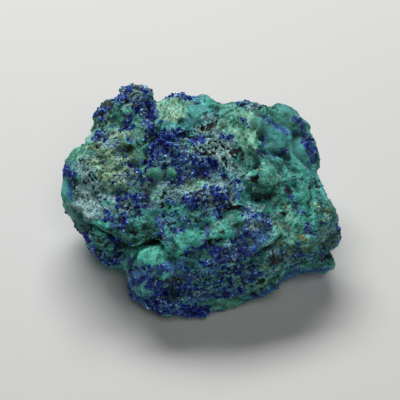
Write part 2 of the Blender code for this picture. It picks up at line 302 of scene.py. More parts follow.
def reshape(points, normals):
    spots = toPicture(points)
    facing = np.clip(normals @ np.array(towardsCamera) + 0.3, 0, 1)
    downward = -pixel / math.sin(math.radians(camera["elevation"]))
    moved = points.copy()
    for across, down, reach, right, below in pulls.values():
        away = ((spots - (across, down)) ** 2).sum(axis=1)
        share = np.exp(-away / reach ** 2)
        moved[:, 0] += share * right * pixel
        moved[:, 1] += share * below * downward
    spots = toPicture(moved)
    rise = np.zeros(len(points))
    for across, down, reach, height in swells:
        away = ((spots - (across, down)) ** 2).sum(axis=1)
        rise += height * np.exp(-away / reach ** 2)
    stray = np.stack([softNoise(points, 2.5 * mm, seed, 2) for seed in (31, 32)], axis=1)
    wavy = spots + rock["waver"] * stray
    for across, down, halfWidth, halfHeight, turn, height in nodules.values():
        turned = (wavy - (across, down)) @ turnBy(turn)
        away = np.hypot(turned[:, 0] / halfWidth, turned[:, 1] / halfHeight)
        groove = rock["rim"] * np.exp(-((away - 1.08) / 0.14) ** 2)
        rise += height * (np.clip(1 - away ** 2, 0, 1) ** 0.75 - groove)
    rise = rock["limit"] * np.tanh(rise / rock["limit"])
    return moved + (rise * facing * mm)[:, None] * np.array(towardsCamera)


def averaged(points, rounds):
    pairs = np.empty(len(rockMesh.edges) * 2, np.int32)
    rockMesh.edges.foreach_get("vertices", pairs)
    pairs = pairs.reshape(-1, 2)
    near = np.bincount(pairs.ravel(), minlength=len(points))[:, None]
    for turn in range(rounds):
        total = np.zeros_like(points)
        for side in range(3):
            total[:, side] = np.bincount(pairs[:, 0], points[pairs[:, 1], side], len(points))
            total[:, side] += np.bincount(pairs[:, 1], points[pairs[:, 0], side], len(points))
        points = total / near
    return points


def evenOut(points):
    spots = toPicture(points)
    share = np.zeros(len(points))
    for across, down, reach in smoothSpots:
        away = np.linalg.norm(spots - (across, down), axis=1)
        share = np.maximum(share, ramp(reach - away, -3, 3))
    share *= ramp(normalsOf(rockMesh) @ np.array(towardsCamera), 0, 0.3)
    return points + (averaged(points, 9) - points) * share[:, None]


def lowerSpikes(points):
    away = averaged(points, 10) - points
    standing = np.maximum(np.linalg.norm(away, axis=1), 1e-9)
    return points + away * np.clip(1 - rock["standing"] * mm / standing, 0, 1)[:, None]


def growRock():
    lump = linked("grown", rockNode.data.copy())
    skin = lump.modifiers.new("even mesh", "REMESH")
    skin.mode = "VOXEL"
    skin.voxel_size = rock["grid"]
    soften = lump.modifiers.new("soften", "SMOOTH")
    soften.iterations = rock["smoothing"]
    bpy.context.view_layer.update()
    whole = lump.evaluated_get(bpy.context.evaluated_depsgraph_get())
    skinned = bpy.data.meshes.new_from_object(whole)
    bpy.data.objects.remove(lump)
    skinned.materials.clear()
    return skinned


rockMesh = growRock()
rockMesh.name = "rock"
reshaped = averaged(reshape(pointsOf(rockMesh), normalsOf(rockMesh)), rock["evened"])
reshaped = lowerSpikes(evenOut(reshaped))
rockMesh.vertices.foreach_set("co", reshaped.ravel())
rockMesh.update()
rockPoints = pointsOf(rockMesh)
rockNormals = normalsOf(rockMesh)
print("rock grown:", len(rockPoints), "points")

# the minerals: lumps and grain are heights in mm, crumbs a share of the densest cover, tones dark to light
columns = ("lumps", "grain", "crumbs", "dark", "middle", "light")
minerals = {
    "teal": (0.38, 0.12, 0.10, (36, 112, 114), (84, 190, 188), (160, 230, 222)),
    # the next is a lighter teal: partly the mineral's own colour, partly painted light on faces that catch
    # the lamps
    "bright": (0.34, 0.15, 0.06, (42, 140, 124), (90, 206, 186), (136, 224, 206)),
    "mint": (0.26, 0.12, 0.06, (84, 157, 140), (138, 213, 190), (191, 230, 211)),
    "mintBead": (0.20, 0.25, 0.05, (86, 155, 132), (142, 214, 184), (190, 230, 206)),
    "moss": (0.62, 0.15, 0.20, (96, 144, 114), (184, 232, 194), (234, 250, 218)),
    # the next is moss darkened as painted shade, a shaded copy for moss lying in hollows
    "darkMoss": (0.50, 0.15, 0.10, (42, 74, 52), (88, 132, 96), (136, 178, 134)),
    "olive": (0.15, 0.15, 0.05, (64, 108, 90), (122, 178, 154), (180, 218, 194)),
    "pale": (0.30, 0.38, 0.45, (83, 132, 138), (153, 207, 210), (220, 241, 240)),
    "chalk": (0.28, 0.40, 0.35, (111, 162, 165), (183, 221, 222), (232, 243, 243)),
    "green": (0.55, 0.12, 0.10, (40, 114, 98), (94, 196, 168), (172, 234, 208)),
    # the next is deep green malachite; it is also laid as painted shade in the cave and on the overhanging
    # lump's lower side
    "deepGreen": (0.55, 0.20, 0.15, (26, 82, 76), (60, 152, 138), (128, 204, 188)),
    "bead": (0.14, 0.09, 0.00, (50, 132, 127), (74, 162, 155), (108, 185, 176)),
    "greenBead": (0.08, 0.05, 0.00, (37, 103, 87), (70, 153, 128), (124, 190, 166)),
    "darkBead": (0.20, 0.12, 0.00, (38, 101, 99), (67, 148, 142), (109, 179, 173)),
    "azurite": (0.50, 0.20, 0.06, (18, 33, 90), (62, 112, 180), (176, 226, 226)),
    # the next is darker azurite without light flecks: partly its own deep blue, partly painted shade on the
    # front that faces away from the lamps
    "deepAzurite": (0.45, 0.20, 0.03, (12, 20, 66), (32, 56, 140), (62, 106, 186)),
    "blueFilm": (0.25, 0.15, 0.04, (26, 54, 118), (60, 120, 196), (146, 204, 224)),
    "navyFilm": (0.20, 0.15, 0.02, (20, 36, 88), (46, 80, 156), (92, 144, 196)),
    # the next is black pits of the crust; also laid as painted shadow in the cave and under the overhanging
    # lump
    "black": (0.30, 0.35, 0.25, (16, 16, 14), (44, 47, 42), (116, 134, 124)),
    "ochre": (0.30, 0.40, 0.60, (84, 90, 58), (146, 142, 94), (200, 196, 142)),
}
edges = {"black": 0.42, "ochre": 0.45, "others": 0.55}      # how coarse the ragged borders are, mm

# strokes: a mineral, then for each stroke its radius in pixels, how much of it is covered, and the points
# that it runs through; a later one lies over an earlier one
strokes = [
    # knob at the top left
    ("azurite", (8, 1, 122, 90, 132, 88, 144, 92, 152, 98), (9, 1, 128, 98, 142, 102),
     (9, 1, 143, 108, 152, 116, 150, 128, 152, 136), (6, 0.7, 128, 114, 138, 114)),
    ("pale", (6, 0.4, 142, 92, 151, 97)), ("black", (3, 0.8, 122, 100, 126, 100)),
    ("mint", (6, 1, 127, 109)), ("bright", (3, 1, 113, 90, 119, 88), (4, 0.7, 125, 108, 130, 112)),
    ("ochre", (1.3, 0.9, 130, 94, 135, 96), (1.5, 0.8, 132, 106, 135, 105)),
    ("azurite", (3, 1, 118, 88, 124, 86), (5, 1, 127, 121, 129, 126)),
    ("mint", (6, 0.75, 139, 122, 136, 128)), ("bright", (5, 0.5, 139, 120, 133, 128)),
    # upper left edge
    ("green", (9, 1, 108, 112, 116, 122)), ("blueFilm", (2.5, 1, 112, 127, 113, 129)),
    ("azurite", (4, 1, 118, 98, 108, 102, 100, 108, 97, 118)), ("deepGreen", (5, 1, 107, 112, 114, 107)),
    ("olive", (3, 0.6, 105, 113, 108, 117)), ("bright", (1.5, 0.8, 113, 104, 119, 105)),
    ("azurite", (3, 0.6, 100, 120, 112, 120)), ("black", (2, 0.8, 98, 121, 108, 126)),
    ("green", (5, 1, 93, 122, 92, 132)), ("pale", (3, 0.6, 98, 126, 106, 128)),
    ("mint", (5, 1, 86, 139, 93, 136)), ("deepGreen", (5, 0.5, 98, 122, 104, 128)),
    ("black", (1.5, 0.9, 103, 131, 110, 132)), ("azurite", (4, 1, 98, 134, 101, 134)),
    ("blueFilm", (3.5, 0.8, 106, 136, 110, 135)),
    # moss-green lumps
    ("mint", (6, 1, 119, 132, 132, 134, 143, 132)), ("moss", (7, 1, 98, 142, 102, 148)),
    ("ochre", (4, 0.2, 94, 144, 102, 142)), ("black", (2, 0.8, 96, 147, 100, 148)),
    ("pale", (5, 1, 108, 144, 114, 150)), ("azurite", (5, 0.35, 104, 143, 116, 150)),
    ("moss", (9, 1, 104, 154, 112, 162, 103, 166), (9, 1, 110, 172, 104, 174, 122, 170),
     (5, 0.8, 118, 138, 128, 132)), ("pale", (4, 0.8, 134, 138, 128, 140)),
    ("green", (5, 1, 118, 142, 133, 145, 146, 145)), ("deepGreen", (5, 1, 119, 149, 124, 149)),
    ("greenBead", (9, 1, 136, 157, 138, 160)), ("black", (2.5, 0.8, 118, 147, 124, 151),
     (4, 0.55, 129, 167, 140, 171)), ("pale", (5, 0.9, 119, 155, 124, 159), (5, 0.8, 126, 166, 132, 170)),
    ("green", (3, 1, 146, 150, 149, 154)),
    # left side
    ("green", (7, 1, 71, 156, 80, 148)), ("teal", (5, 1, 70, 163, 72, 168)),
    ("pale", (9, 1, 84, 162, 84, 172, 94, 162)), ("teal", (7, 1, 74, 180, 74, 196)),
    ("green", (5, 0.8, 70, 157, 80, 149, 86, 146)), ("azurite", (4.5, 1, 65, 169, 70, 175)),
    ("bead", (7, 1, 63, 184, 62, 196, 66, 204)), ("blueFilm", (1.8, 1, 69, 181, 70, 197)),
    ("black", (6, 0.25, 80, 164, 90, 172)), ("pale", (10, 1, 84, 188, 96, 190)),
    ("black", (10, 0.24, 80, 184, 94, 184, 92, 196)), ("olive", (6, 1, 108, 186, 121, 188)),
    ("moss", (5, 0.5, 80, 158, 88, 156), (3, 1, 116, 178, 122, 181), (5, 0.8, 128, 172, 131, 180)),
    ("chalk", (10, 1, 84, 200, 92, 206, 90, 212), (6, 0.8, 80, 190, 84, 196)),
    ("black", (9, 0.1, 84, 200, 92, 212), (2.5, 0.8, 110, 181, 116, 183), (2, 0.8, 116, 191, 126, 190)),
    ("pale", (9, 1, 108, 204, 113, 204)), ("mint", (3, 1, 65, 204, 73, 205)),
    ("blueFilm", (2, 1, 75, 205, 77, 211)), ("darkBead", (9, 1, 74, 213, 80, 226)),
    ("bright", (6, 0.4, 108, 204, 114, 203)), ("black", (4, 0.5, 98, 196, 106, 206, 104, 212),
     (2.5, 0.7, 84, 209, 89, 216, 90, 232)), ("pale", (8, 1, 96, 214, 99, 220)),
    ("bright", (7, 1, 98, 226, 104, 225)), ("teal", (5, 0.9, 112, 226, 120, 224)),
    ("azurite", (7, 0.6, 108, 215, 122, 217), (4, 0.8, 126, 210, 118, 208)),
    ("blueFilm", (3.5, 0.9, 112, 226, 120, 226)), ("azurite", (5, 1, 118, 232, 126, 226)),
    ("deepGreen", (9, 1, 100, 234, 112, 236, 104, 248, 118, 250)),
    ("black", (7, 0.5, 97, 238, 106, 232, 103, 246)), ("azurite", (3, 1, 112, 240, 118, 242),
     (3.5, 1, 85, 235, 88, 241), (3, 0.9, 91, 248, 97, 253)),
    ("deepAzurite", (4, 0.8, 103, 259, 113, 263)), ("azurite", (3, 1, 117, 248, 117, 262)),
    # azurite field
    ("azurite", (10, 0.95, 152, 126, 160, 136, 174, 134), (13, 0.85, 160, 150, 176, 152),
     (11, 0.85, 152, 162, 184, 162, 196, 158), (10, 0.95, 204, 164, 214, 165, 206, 172),
     (6, 1, 182, 177, 192, 176), (3.5, 1, 146, 182, 160, 182, 178, 182)),
    ("moss", (8, 0.6, 130, 178, 140, 180)), ("azurite", (8, 0.5, 130, 176, 142, 180)),
    ("black", (6, 0.3, 134, 182, 146, 188), (4, 0.7, 149, 139, 157, 140)),
    ("pale", (8, 0.5, 186, 144, 194, 152), (8, 0.25, 160, 156, 176, 162)),
    ("greenBead", (7.5, 1, 155, 172, 157, 172), (7, 1, 171, 172)), ("ochre", (1.3, 0.9, 154, 139),
     (2.4, 0.4, 184, 167, 191, 174)), ("azurite", (1.8, 0.9, 164, 166, 164, 174)),
    ("teal", (4, 1, 159, 122, 160, 131), (3, 0.8, 162, 178, 166, 177)),
    # ridges along the back
    ("mint", (11, 1, 166, 107, 180, 108), (8, 1, 162, 118, 178, 116), (5, 1, 155, 98, 158, 112)),
    ("pale", (10, 0.3, 176, 108, 170, 112)), ("moss", (11, 0.5, 162, 104, 174, 104, 168, 114)),
    ("bright", (8, 0.4, 162, 120, 182, 116)), ("black", (1.5, 1, 153, 97, 154, 98),
     (1.5, 1, 176, 116, 177, 116)), ("teal", (5, 1, 168, 124, 186, 123), (13, 1, 200, 101, 203, 112)),
    ("bead", (8, 0.6, 200, 112, 206, 108)), ("pale", (3, 0.7, 210, 114, 213, 117)),
    ("azurite", (2, 1, 215, 114, 218, 116)), ("mint", (5, 0.8, 199, 95, 207, 96),
     (8, 1, 224, 104, 226, 112, 238, 116)), ("green", (4, 0.8, 220, 104, 228, 107, 238, 108)),
    ("teal", (5, 0.8, 230, 102, 236, 101)), ("azurite", (3, 1, 163, 94, 176, 93, 188, 97, 197, 100),
     (3, 1, 240, 103, 253, 106)), ("mintBead", (7.5, 1, 247, 115, 250, 116)),
    ("green", (5, 1, 224, 119, 232, 121, 241, 122)), ("mint", (9, 1, 228, 126, 240, 134, 250, 139)),
    ("mintBead", (7, 1, 232, 124, 242, 132, 249, 137), (6, 0.8, 242, 142, 247, 147)),
    ("azurite", (2.5, 1, 242, 120, 251, 128)), ("bright", (2.5, 1, 254, 132, 258, 146)),
    ("pale", (2, 1, 247, 135, 250, 136)), ("greenBead", (5, 1, 256, 122, 260, 136)),
    ("olive", (9, 1, 250, 151, 250, 159), (3, 0.7, 260, 128, 261, 136)),
    ("greenBead", (6, 0.4, 251, 158, 252, 162)), ("mintBead", (6, 0.7, 245, 143, 248, 150)),
    # pitted crust in the middle
    ("pale", (12, 1, 206, 135, 219, 138, 225, 150), (8, 1, 208, 150, 220, 160)),
    ("chalk", (10, 0.7, 208, 132, 218, 138, 224, 150)), ("pale", (6, 1, 228, 164, 238, 172)),
    ("black", (5, 0.55, 183, 138, 190, 133, 198, 127), (4.5, 0.5, 200, 126, 206, 132),
     (3.5, 0.6, 211, 125, 218, 121, 224, 128), (5, 0.4, 200, 148, 206, 153, 213, 150),
     (5, 0.36, 214, 136, 222, 146, 227, 145), (4, 0.65, 233, 152, 239, 157, 238, 150),
     (3, 0.8, 224, 158, 226, 164), (3, 0.6, 206, 142, 212, 141)),
    ("azurite", (4, 1, 194, 142, 198, 138, 203, 138), (3, 1, 223, 135, 231, 138)),
    # nodules on the right
    ("darkBead", (14, 1, 269, 113, 286, 116, 300, 124)),
    ("greenBead", (10, 0.8, 264, 110, 276, 116, 288, 120),
     (4, 1, 300, 111, 309, 122, 313, 136, 319, 152, 319, 162)), ("darkBead", (13, 1, 275, 132, 276, 141),
     (3.5, 0.9, 266, 132, 268, 148)), ("bead", (4, 0.5, 276, 107, 288, 111), (6, 0.7, 280, 134, 282, 142),
     (12, 1, 300, 149, 300, 164)), ("darkBead", (3.5, 1, 287, 150, 288, 162)),
    ("navyFilm", (3.5, 0.9, 295, 118, 302, 123, 305, 134), (4.5, 1, 305, 141, 311, 148, 314, 159),
     (3, 0.8, 259, 152, 270, 157, 280, 153, 286, 149)),
    ("blueFilm", (2.5, 1, 262, 113, 268, 120, 278, 126, 289, 132), (2, 1, 263, 137, 264, 147),
     (2, 0.9, 308, 161, 309, 164)), ("bead", (4, 0.5, 272, 156, 280, 154)),
    ("pale", (3, 0.5, 260, 156, 266, 158)),
    # overhanging lump; the deep green and black on its lower left and under it are painted shade, the
    # bright and mint on its top painted light
    ("green", (18, 1, 260, 180, 264, 178)), ("greenBead", (16, 0.35, 262, 182, 266, 176)),
    # painted shade: deep green, and the black two lines down, on the lump's lower left
    ("deepGreen", (8, 0.4, 258, 184, 266, 188), (9, 0.8, 250, 180, 254, 190), (5, 1, 242, 190, 247, 191)),
    # painted light: bright and mint on the lump's top
    ("bright", (9, 0.6, 268, 166, 274, 174)), ("mint", (8, 0.35, 266, 168, 276, 178)),
    ("black", (4, 0.7, 250, 178, 255, 180), (2, 0.5, 252, 171, 258, 169)),
    ("ochre", (1.3, 0.9, 257, 170, 259, 170)), ("green", (4, 1, 262, 182, 264, 192)),
    # painted shadow: the thin black line under the lump
    ("black", (1.6, 0.5, 246, 195, 256, 199, 268, 198, 279, 192)),
    # plateau on the right
    ("green", (8, 0.6, 280, 196, 300, 205)), ("bright", (14, 0.5, 296, 176, 306, 192, 290, 210),
     (11, 1, 304, 200, 308, 214, 300, 222)), ("mint", (12, 0.6, 284, 222, 296, 234, 300, 240)),
    ("bright", (10, 0.45, 284, 222, 298, 232)), ("ochre", (1.5, 0.9, 275, 222, 278, 227),
     (1.5, 0.9, 286, 227, 289, 230), (1.6, 0.7, 279, 245, 284, 241), (1.5, 0.8, 300, 236, 305, 239),
     (1.5, 0.7, 290, 248, 292, 250)), ("mint", (9, 0.4, 272, 206, 288, 214)),
    ("black", (1.6, 1, 269, 213, 272, 208), (1.6, 1, 282, 213, 284, 214), (2.4, 0.6, 315, 178, 319, 187),
     (1.6, 1, 296, 244, 298, 245), (1.6, 0.9, 310, 186, 312, 188)),
    ("azurite", (3.2, 1, 309, 224, 309, 230)),
    ("blueFilm", (2.2, 0.9, 287, 190, 293, 198, 298, 208, 304, 213), (3, 0.8, 312, 232, 320, 236)),
    ("deepGreen", (10, 0.5, 324, 206, 328, 222, 330, 240)), ("black", (2.2, 0.9, 287, 188, 291, 192),
     (8, 0.16, 322, 208, 326, 220, 318, 236)), ("ochre", (1.5, 0.8, 285, 207),
     (1.5, 0.7, 312, 246, 316, 242)), ("blueFilm", (8, 0.35, 330, 224, 334, 238, 328, 250),
     (2.2, 0.8, 322, 198, 330, 205)), ("olive", (8, 0.35, 326, 234, 330, 246)),
    ("azurite", (3, 0.8, 338, 226, 340, 238)),
    # speckled band and the druse under it
    ("pale", (9, 0.95, 150, 191, 172, 193, 188, 190, 202, 184), (6, 0.9, 118, 203, 130, 208, 140, 214)),
    ("chalk", (7, 0.6, 176, 188, 190, 187, 204, 185)), ("moss", (5, 0.6, 180, 184, 196, 184, 204, 180)),
    ("mint", (6, 0.8, 155, 189, 153, 200, 160, 202), (5, 0.8, 196, 182, 207, 186)),
    ("bead", (5, 1, 214, 178, 220, 177)), ("pale", (8, 0.9, 222, 184, 232, 190)),
    ("azurite", (8, 0.4, 224, 180, 236, 186)), ("pale", (7, 0.9, 228, 198, 236, 200)),
    ("black", (6, 0.35, 168, 190, 164, 204), (6, 0.35, 228, 200, 232, 196),
     (6, 0.35, 122, 204, 142, 212)), ("azurite", (9, 0.9, 188, 202, 206, 196, 220, 199),
     (5, 0.9, 208, 189, 216, 188, 225, 191), (7, 0.6, 212, 208, 218, 210),
     (5, 0.9, 121, 195, 134, 196, 143, 199), (6, 0.9, 136, 203, 142, 202), (4, 0.6, 138, 210, 150, 206),
     (3, 0.8, 166, 202, 170, 201)), ("pale", (7, 0.3, 210, 206, 220, 206)),
    ("teal", (6, 0.9, 242, 198, 250, 202)), ("blueFilm", (2.5, 0.9, 235, 182, 238, 198)),
    ("ochre", (2, 0.6, 194, 192, 199, 194), (1.3, 0.9, 228, 188, 230, 188)),
    ("black", (3.6, 0.8, 222, 211, 234, 209, 247, 210), (2.4, 0.4, 200, 213, 206, 214)),
    ("bright", (7, 0.7, 168, 210, 182, 208)), ("deepGreen", (4, 0.8, 226, 214, 236, 213)),
    # teal ledges over the cave; the deep green and black under the ledges and in the cave are painted shade
    ("teal", (10, 1, 138, 219, 156, 220), (10, 1, 174, 222, 190, 222)),
    # painted shade: deep green under the ledges
    ("deepGreen", (6, 0.9, 132, 226, 148, 228, 158, 230), (4, 1, 130, 231, 148, 231, 158, 234)),
    # painted shade: the black stroke that follows lies in the cave under the ledge
    ("teal", (4, 1, 124, 238, 140, 238, 152, 236)), ("black", (3, 0.5, 134, 234, 140, 234),
     (2.4, 1, 144, 243, 152, 242, 161, 238)), ("greenBead", (5.5, 1, 194, 214, 198, 214)),
    ("bright", (5, 0.6, 144, 216, 158, 216)),
    ("azurite", (2.5, 1, 156, 218, 162, 224, 160, 232, 164, 242, 167, 248), (2, 1, 160, 222, 168, 220),
     (3, 0.7, 176, 231, 184, 227)), ("black", (1.6, 1, 168, 224, 174, 222),
     (1.4, 0.7, 194, 221, 203, 221)),
    # bright ridge; its bright teal is partly the ridge's own colour and partly painted light on its upward
    # face
    ("bright", (11, 1, 182, 246, 200, 238, 222, 228, 234, 221), (6, 1, 232, 217, 241, 219)),
    ("teal", (6, 0.9, 166, 242, 172, 250)), ("deepGreen", (1.8, 1, 172, 244, 177, 256),
     (1.8, 1, 163, 247, 170, 258)), ("mint", (5, 0.5, 196, 236, 216, 227, 234, 219)),
    ("black", (2, 0.35, 199, 229, 208, 229), (3, 0.25, 216, 230, 232, 231), (3, 0.5, 209, 243, 222, 239)),
    ("blueFilm", (1.8, 1, 208, 226, 207, 236)), ("azurite", (3, 0.9, 202, 240, 208, 246)),
    # blue patch to the right of the ridge, and on down
    ("pale", (12, 1, 254, 214, 260, 224, 254, 232)),
    ("blueFilm", (12, 0.55, 252, 216, 262, 225, 254, 232)),
    ("azurite", (3, 0.9, 262, 212, 268, 220, 270, 228), (9, 0.25, 252, 222, 256, 236),
     (5, 0.7, 240, 230, 246, 226), (12, 0.85, 254, 242, 240, 250, 226, 256),
     (9, 0.75, 216, 254, 226, 266, 204, 262), (4, 0.9, 188, 252, 204, 250)),
    ("teal", (6.5, 1, 263, 254, 257, 260), (4, 0.8, 266, 244, 266, 250)),
    ("black", (8, 0.2, 236, 246, 228, 262, 240, 262), (4, 0.4, 182, 258, 190, 257)),
    ("mint", (3, 0.9, 248, 240, 250, 242)), ("green", (5, 0.9, 202, 255, 208, 259)),
    # bulge under the cave; its bright teal is partly its own colour and partly painted light on the bulge's
    # lit face
    ("bright", (9, 1, 136, 251, 150, 252), (4, 1, 164, 257)), ("teal", (7, 1, 136, 264, 146, 266)),
    ("ochre", (1.5, 1, 153, 249, 154, 250)), ("bright", (6, 1, 152, 262)),
    ("blueFilm", (3, 0.9, 124, 245, 126, 256, 131, 265), (5, 0.9, 132, 275, 144, 275, 152, 271)),
    ("deepAzurite", (4, 1, 162, 267, 169, 264), (3, 0.8, 132, 272, 150, 268)),
    # dark front; the deep azurite and black here are partly the minerals' own colour and partly painted
    # shade on the face turned away from the lamps
    ("blueFilm", (18, 0.9, 138, 288, 160, 298, 190, 302), (12, 0.7, 150, 276, 180, 272, 206, 278)),
    ("deepAzurite", (18, 0.92, 144, 294, 170, 298, 190, 300), (16, 0.85, 176, 282, 204, 284, 232, 282)),
    ("teal", (9, 0.5, 160, 272, 176, 268, 196, 272, 214, 272)),
    ("green", (7, 0.8, 208, 306, 222, 305, 234, 301)),
    ("deepGreen", (12, 0.5, 206, 280, 236, 276, 262, 270)), ("deepAzurite", (6, 0.9, 224, 292, 238, 290)),
    ("olive", (8, 0.5, 240, 282, 258, 280, 268, 272)), ("black", (9, 0.36, 160, 286, 184, 284, 200, 278),
     (8, 0.24, 244, 284, 262, 280, 272, 276)), ("navyFilm", (6, 0.7, 158, 284, 176, 282, 190, 278)),
    ("blueFilm", (5, 0.8, 126, 288, 131, 297, 140, 302),
     (2.5, 1, 250, 298, 262, 295, 278, 286, 290, 276, 300, 270)), ("pale", (6, 0.4, 168, 300, 178, 305)),
    ("teal", (6, 0.9, 138, 288, 147, 292), (9, 0.7, 270, 268, 286, 262, 300, 258)),
    ("black", (5, 0.7, 270, 264, 280, 258)), ("blueFilm", (8, 0.35, 282, 264, 300, 262)),
    ("bright", (5, 0.5, 172, 296, 184, 302)), ("azurite", (5, 0.6, 280, 252, 300, 254)),
    ("deepAzurite", (6, 0.9, 150, 306, 176, 312, 188, 306)), ("blueFilm", (8, 0.5, 308, 260, 322, 256)),
    ("deepGreen", (5, 0.8, 196, 302, 210, 300), (7, 0.5, 306, 264, 320, 262)),
    ("black", (3, 0.8, 322, 259, 330, 256)), ("deepGreen", (4, 1, 322, 268, 331, 264),
     (9, 0.7, 282, 256, 300, 252, 318, 250)), ("mint", (1.6, 0.9, 324, 269, 332, 266, 333, 262)),
    ("navyFilm", (9, 0.4, 286, 258, 304, 256, 322, 254)),
    ("black", (9, 0.22, 284, 258, 302, 256, 320, 252)),
    ("deepGreen", (10, 0.6, 250, 272, 266, 268, 280, 264)), ("olive", (3, 0.7, 194, 293, 212, 292),
     (8, 0.3, 256, 272, 274, 268, 290, 262)), ("blueFilm", (2.5, 1, 190, 304, 206, 298, 222, 291),
     (2, 1, 305, 272, 320, 271, 330, 269)), ("deepAzurite", (6, 0.9, 196, 312, 206, 312)),
    # smaller patches over all of it; among them is painted light, lighter minerals where the rock's relief
    # throws shadow, and painted shade, darker ones in hollows and in the cave
    ("pale", (6, 0.7, 266, 246, 276, 250), (7, 0.5, 124, 180, 134, 184), (5, 0.6, 112, 206, 120, 208),
     (6, 0.5, 216, 180, 226, 182), (6, 0.6, 148, 198, 154, 204), (5, 0.5, 122, 174, 128, 176),
     (6, 0.5, 148, 198, 152, 202), (6, 0.9, 243, 167, 247, 174), (4, 0.8, 204, 118, 214, 117),
     (4, 0.6, 160, 180, 166, 178), (12, 0.12, 166, 150, 186, 150, 196, 156), (4, 0.6, 207, 134, 216, 134),
     (3, 0.6, 66, 163, 70, 166), (3, 0.5, 239, 185, 244, 185)), ("bright", (5, 0.6, 94, 228, 104, 226),
     (6, 0.7, 98, 229, 104, 228), (9, 0.8, 138, 252, 152, 255), (6, 1, 202, 96, 210, 101),
     (4, 0.6, 192, 250, 200, 247), (4, 0.6, 304, 160, 309, 161)), ("teal", (5, 0.9, 266, 209, 262, 206),
     (10, 0.15, 158, 156, 176, 140, 190, 166), (5, 0.8, 198, 95, 206, 97), (5, 0.8, 326, 200, 324, 212),
     (5, 0.7, 213, 110, 221, 112)), ("mint", (5, 0.5, 270, 246, 280, 240), (5, 0.5, 222, 219, 232, 217),
     (6, 0.7, 112, 134, 120, 138), (5, 0.8, 222, 124, 228, 128), (5, 0.6, 252, 155, 250, 162),
     (4, 0.7, 148, 200, 154, 202), (3, 0.8, 184, 100, 190, 101)),
    ("navyFilm", (3.5, 0.8, 99, 108, 106, 102, 112, 99), (7, 0.7, 158, 286, 170, 285),
     (7, 0.6, 250, 270, 262, 272)), ("black", (7, 0.3, 158, 286, 172, 284), (6, 0.2, 250, 270, 264, 271),
     (6, 0.35, 270, 263, 280, 260), (6, 0.4, 160, 288, 172, 286), (6, 0.35, 96, 251, 106, 256),
     (6, 0.25, 250, 271, 260, 273), (5, 0.6, 162, 286, 172, 287), (5, 0.5, 272, 263, 280, 263),
     (4, 0.5, 74, 228, 80, 231), (4, 0.5, 222, 252, 232, 254), (12, 0.05, 158, 136, 176, 152, 200, 162),
     (4, 0.6, 192, 131, 198, 131)), ("azurite", (4, 0.9, 99, 105, 108, 100), (4, 1, 152, 108, 155, 116),
     (5, 1, 100, 105, 109, 101), (4, 0.5, 210, 217, 217, 218), (7, 1, 163, 138, 160, 148),
     (6, 1, 204, 163, 212, 164), (5, 0.5, 198, 173, 207, 173), (4, 0.6, 95, 138, 103, 137),
     (5, 0.7, 173, 166, 181, 163), (4, 0.6, 198, 171, 205, 170), (5, 0.6, 198, 172, 206, 171),
     (3, 0.5, 168, 130, 173, 130)), ("green", (4, 1, 255, 190, 262, 192)),
    ("olive", (5.5, 0.9, 109, 186, 120, 187), (4, 0.8, 336, 232, 337, 242), (4, 0.6, 94, 126, 98, 130)),
    ("blueFilm", (5, 0.8, 158, 271, 172, 272), (3, 0.9, 128, 282, 130, 296, 140, 303),
     (2.5, 0.8, 124, 280, 128, 292, 136, 298), (2.5, 0.7, 152, 306, 166, 311, 182, 310),
     (3, 0.8, 226, 288, 237, 294), (2, 0.8, 196, 272, 214, 270, 228, 266), (4, 0.4, 194, 97, 199, 94),
     (3, 0.4, 295, 128, 299, 132)), ("darkBead", (4, 0.6, 195, 98, 200, 95)),
    # painted shade: deep green darkening the cave under the ledge and a shaded spot on the left foot
    ("deepGreen", (7, 0.8, 262, 108, 272, 110), (3, 0.9, 132, 242, 146, 238), (3, 1, 140, 230, 156, 229),
     (5, 1, 71, 225, 79, 230)), ("bead", (6.5, 0.8, 107, 203, 110, 205)),
    ("chalk", (3, 0.9, 62, 203, 72, 207), (4, 0.7, 107, 208, 114, 209), (3, 0.7, 124, 174, 129, 175),
     (5, 0.9, 80, 208, 88, 212), (4, 0.8, 209, 134, 216, 134)), ("greenBead", (7, 1, 156, 173, 157, 174)),
    ("azurite", (10, 0.12, 110, 190, 130, 206, 150, 206), (12, 0.08, 170, 222, 190, 228, 200, 220),
     (10, 0.18, 120, 134, 130, 150, 124, 176), (4, 0.6, 123, 126, 131, 126), (3, 0.6, 157, 217, 160, 226),
     (3, 0.6, 152, 164, 158, 163), (4, 0.6, 157, 161, 162, 162), (3, 0.6, 156, 162, 162, 162)),
    ("pale", (8, 0.35, 256, 226, 262, 234), (4, 0.8, 247, 108, 256, 105), (5, 0.5, 158, 272, 168, 274),
     (4, 0.7, 336, 217, 337, 226), (9, 0.2, 118, 214, 134, 196, 206, 196, 222, 200),
     (10, 0.08, 128, 100, 142, 112, 150, 128), (5, 0.22, 129, 92, 139, 92), (4, 0.5, 118, 202, 124, 203),
     (3, 0.6, 182, 196, 188, 197), (4, 0.5, 336, 234, 338, 239)), ("moss", (5, 0.7, 113, 136, 121, 135),
     (5, 0.8, 93, 163, 101, 163), (6, 0.6, 119, 168, 117, 180), (4, 0.5, 127, 187, 134, 188),
     (8, 0.5, 165, 114, 178, 115), (4, 0.6, 86, 147, 91, 148), (5, 0.4, 326, 200, 324, 212),
     (4, 0.5, 194, 189, 202, 188), (4, 0.4, 231, 103, 239, 104), (4, 0.4, 324, 214, 328, 219)),
    # painted shade: darkened moss laid in the hollows
    ("darkMoss", (5, 0.9, 117, 146, 130, 147), (4, 0.9, 123, 156, 137, 152), (4, 0.5, 225, 245, 233, 246),
     (4, 0.4, 240, 225, 247, 226), (5, 0.5, 267, 285, 278, 283), (5, 0.5, 325, 204, 332, 206),
     (6, 0.35, 92, 163, 100, 168), (4, 0.5, 140, 156, 146, 157)),
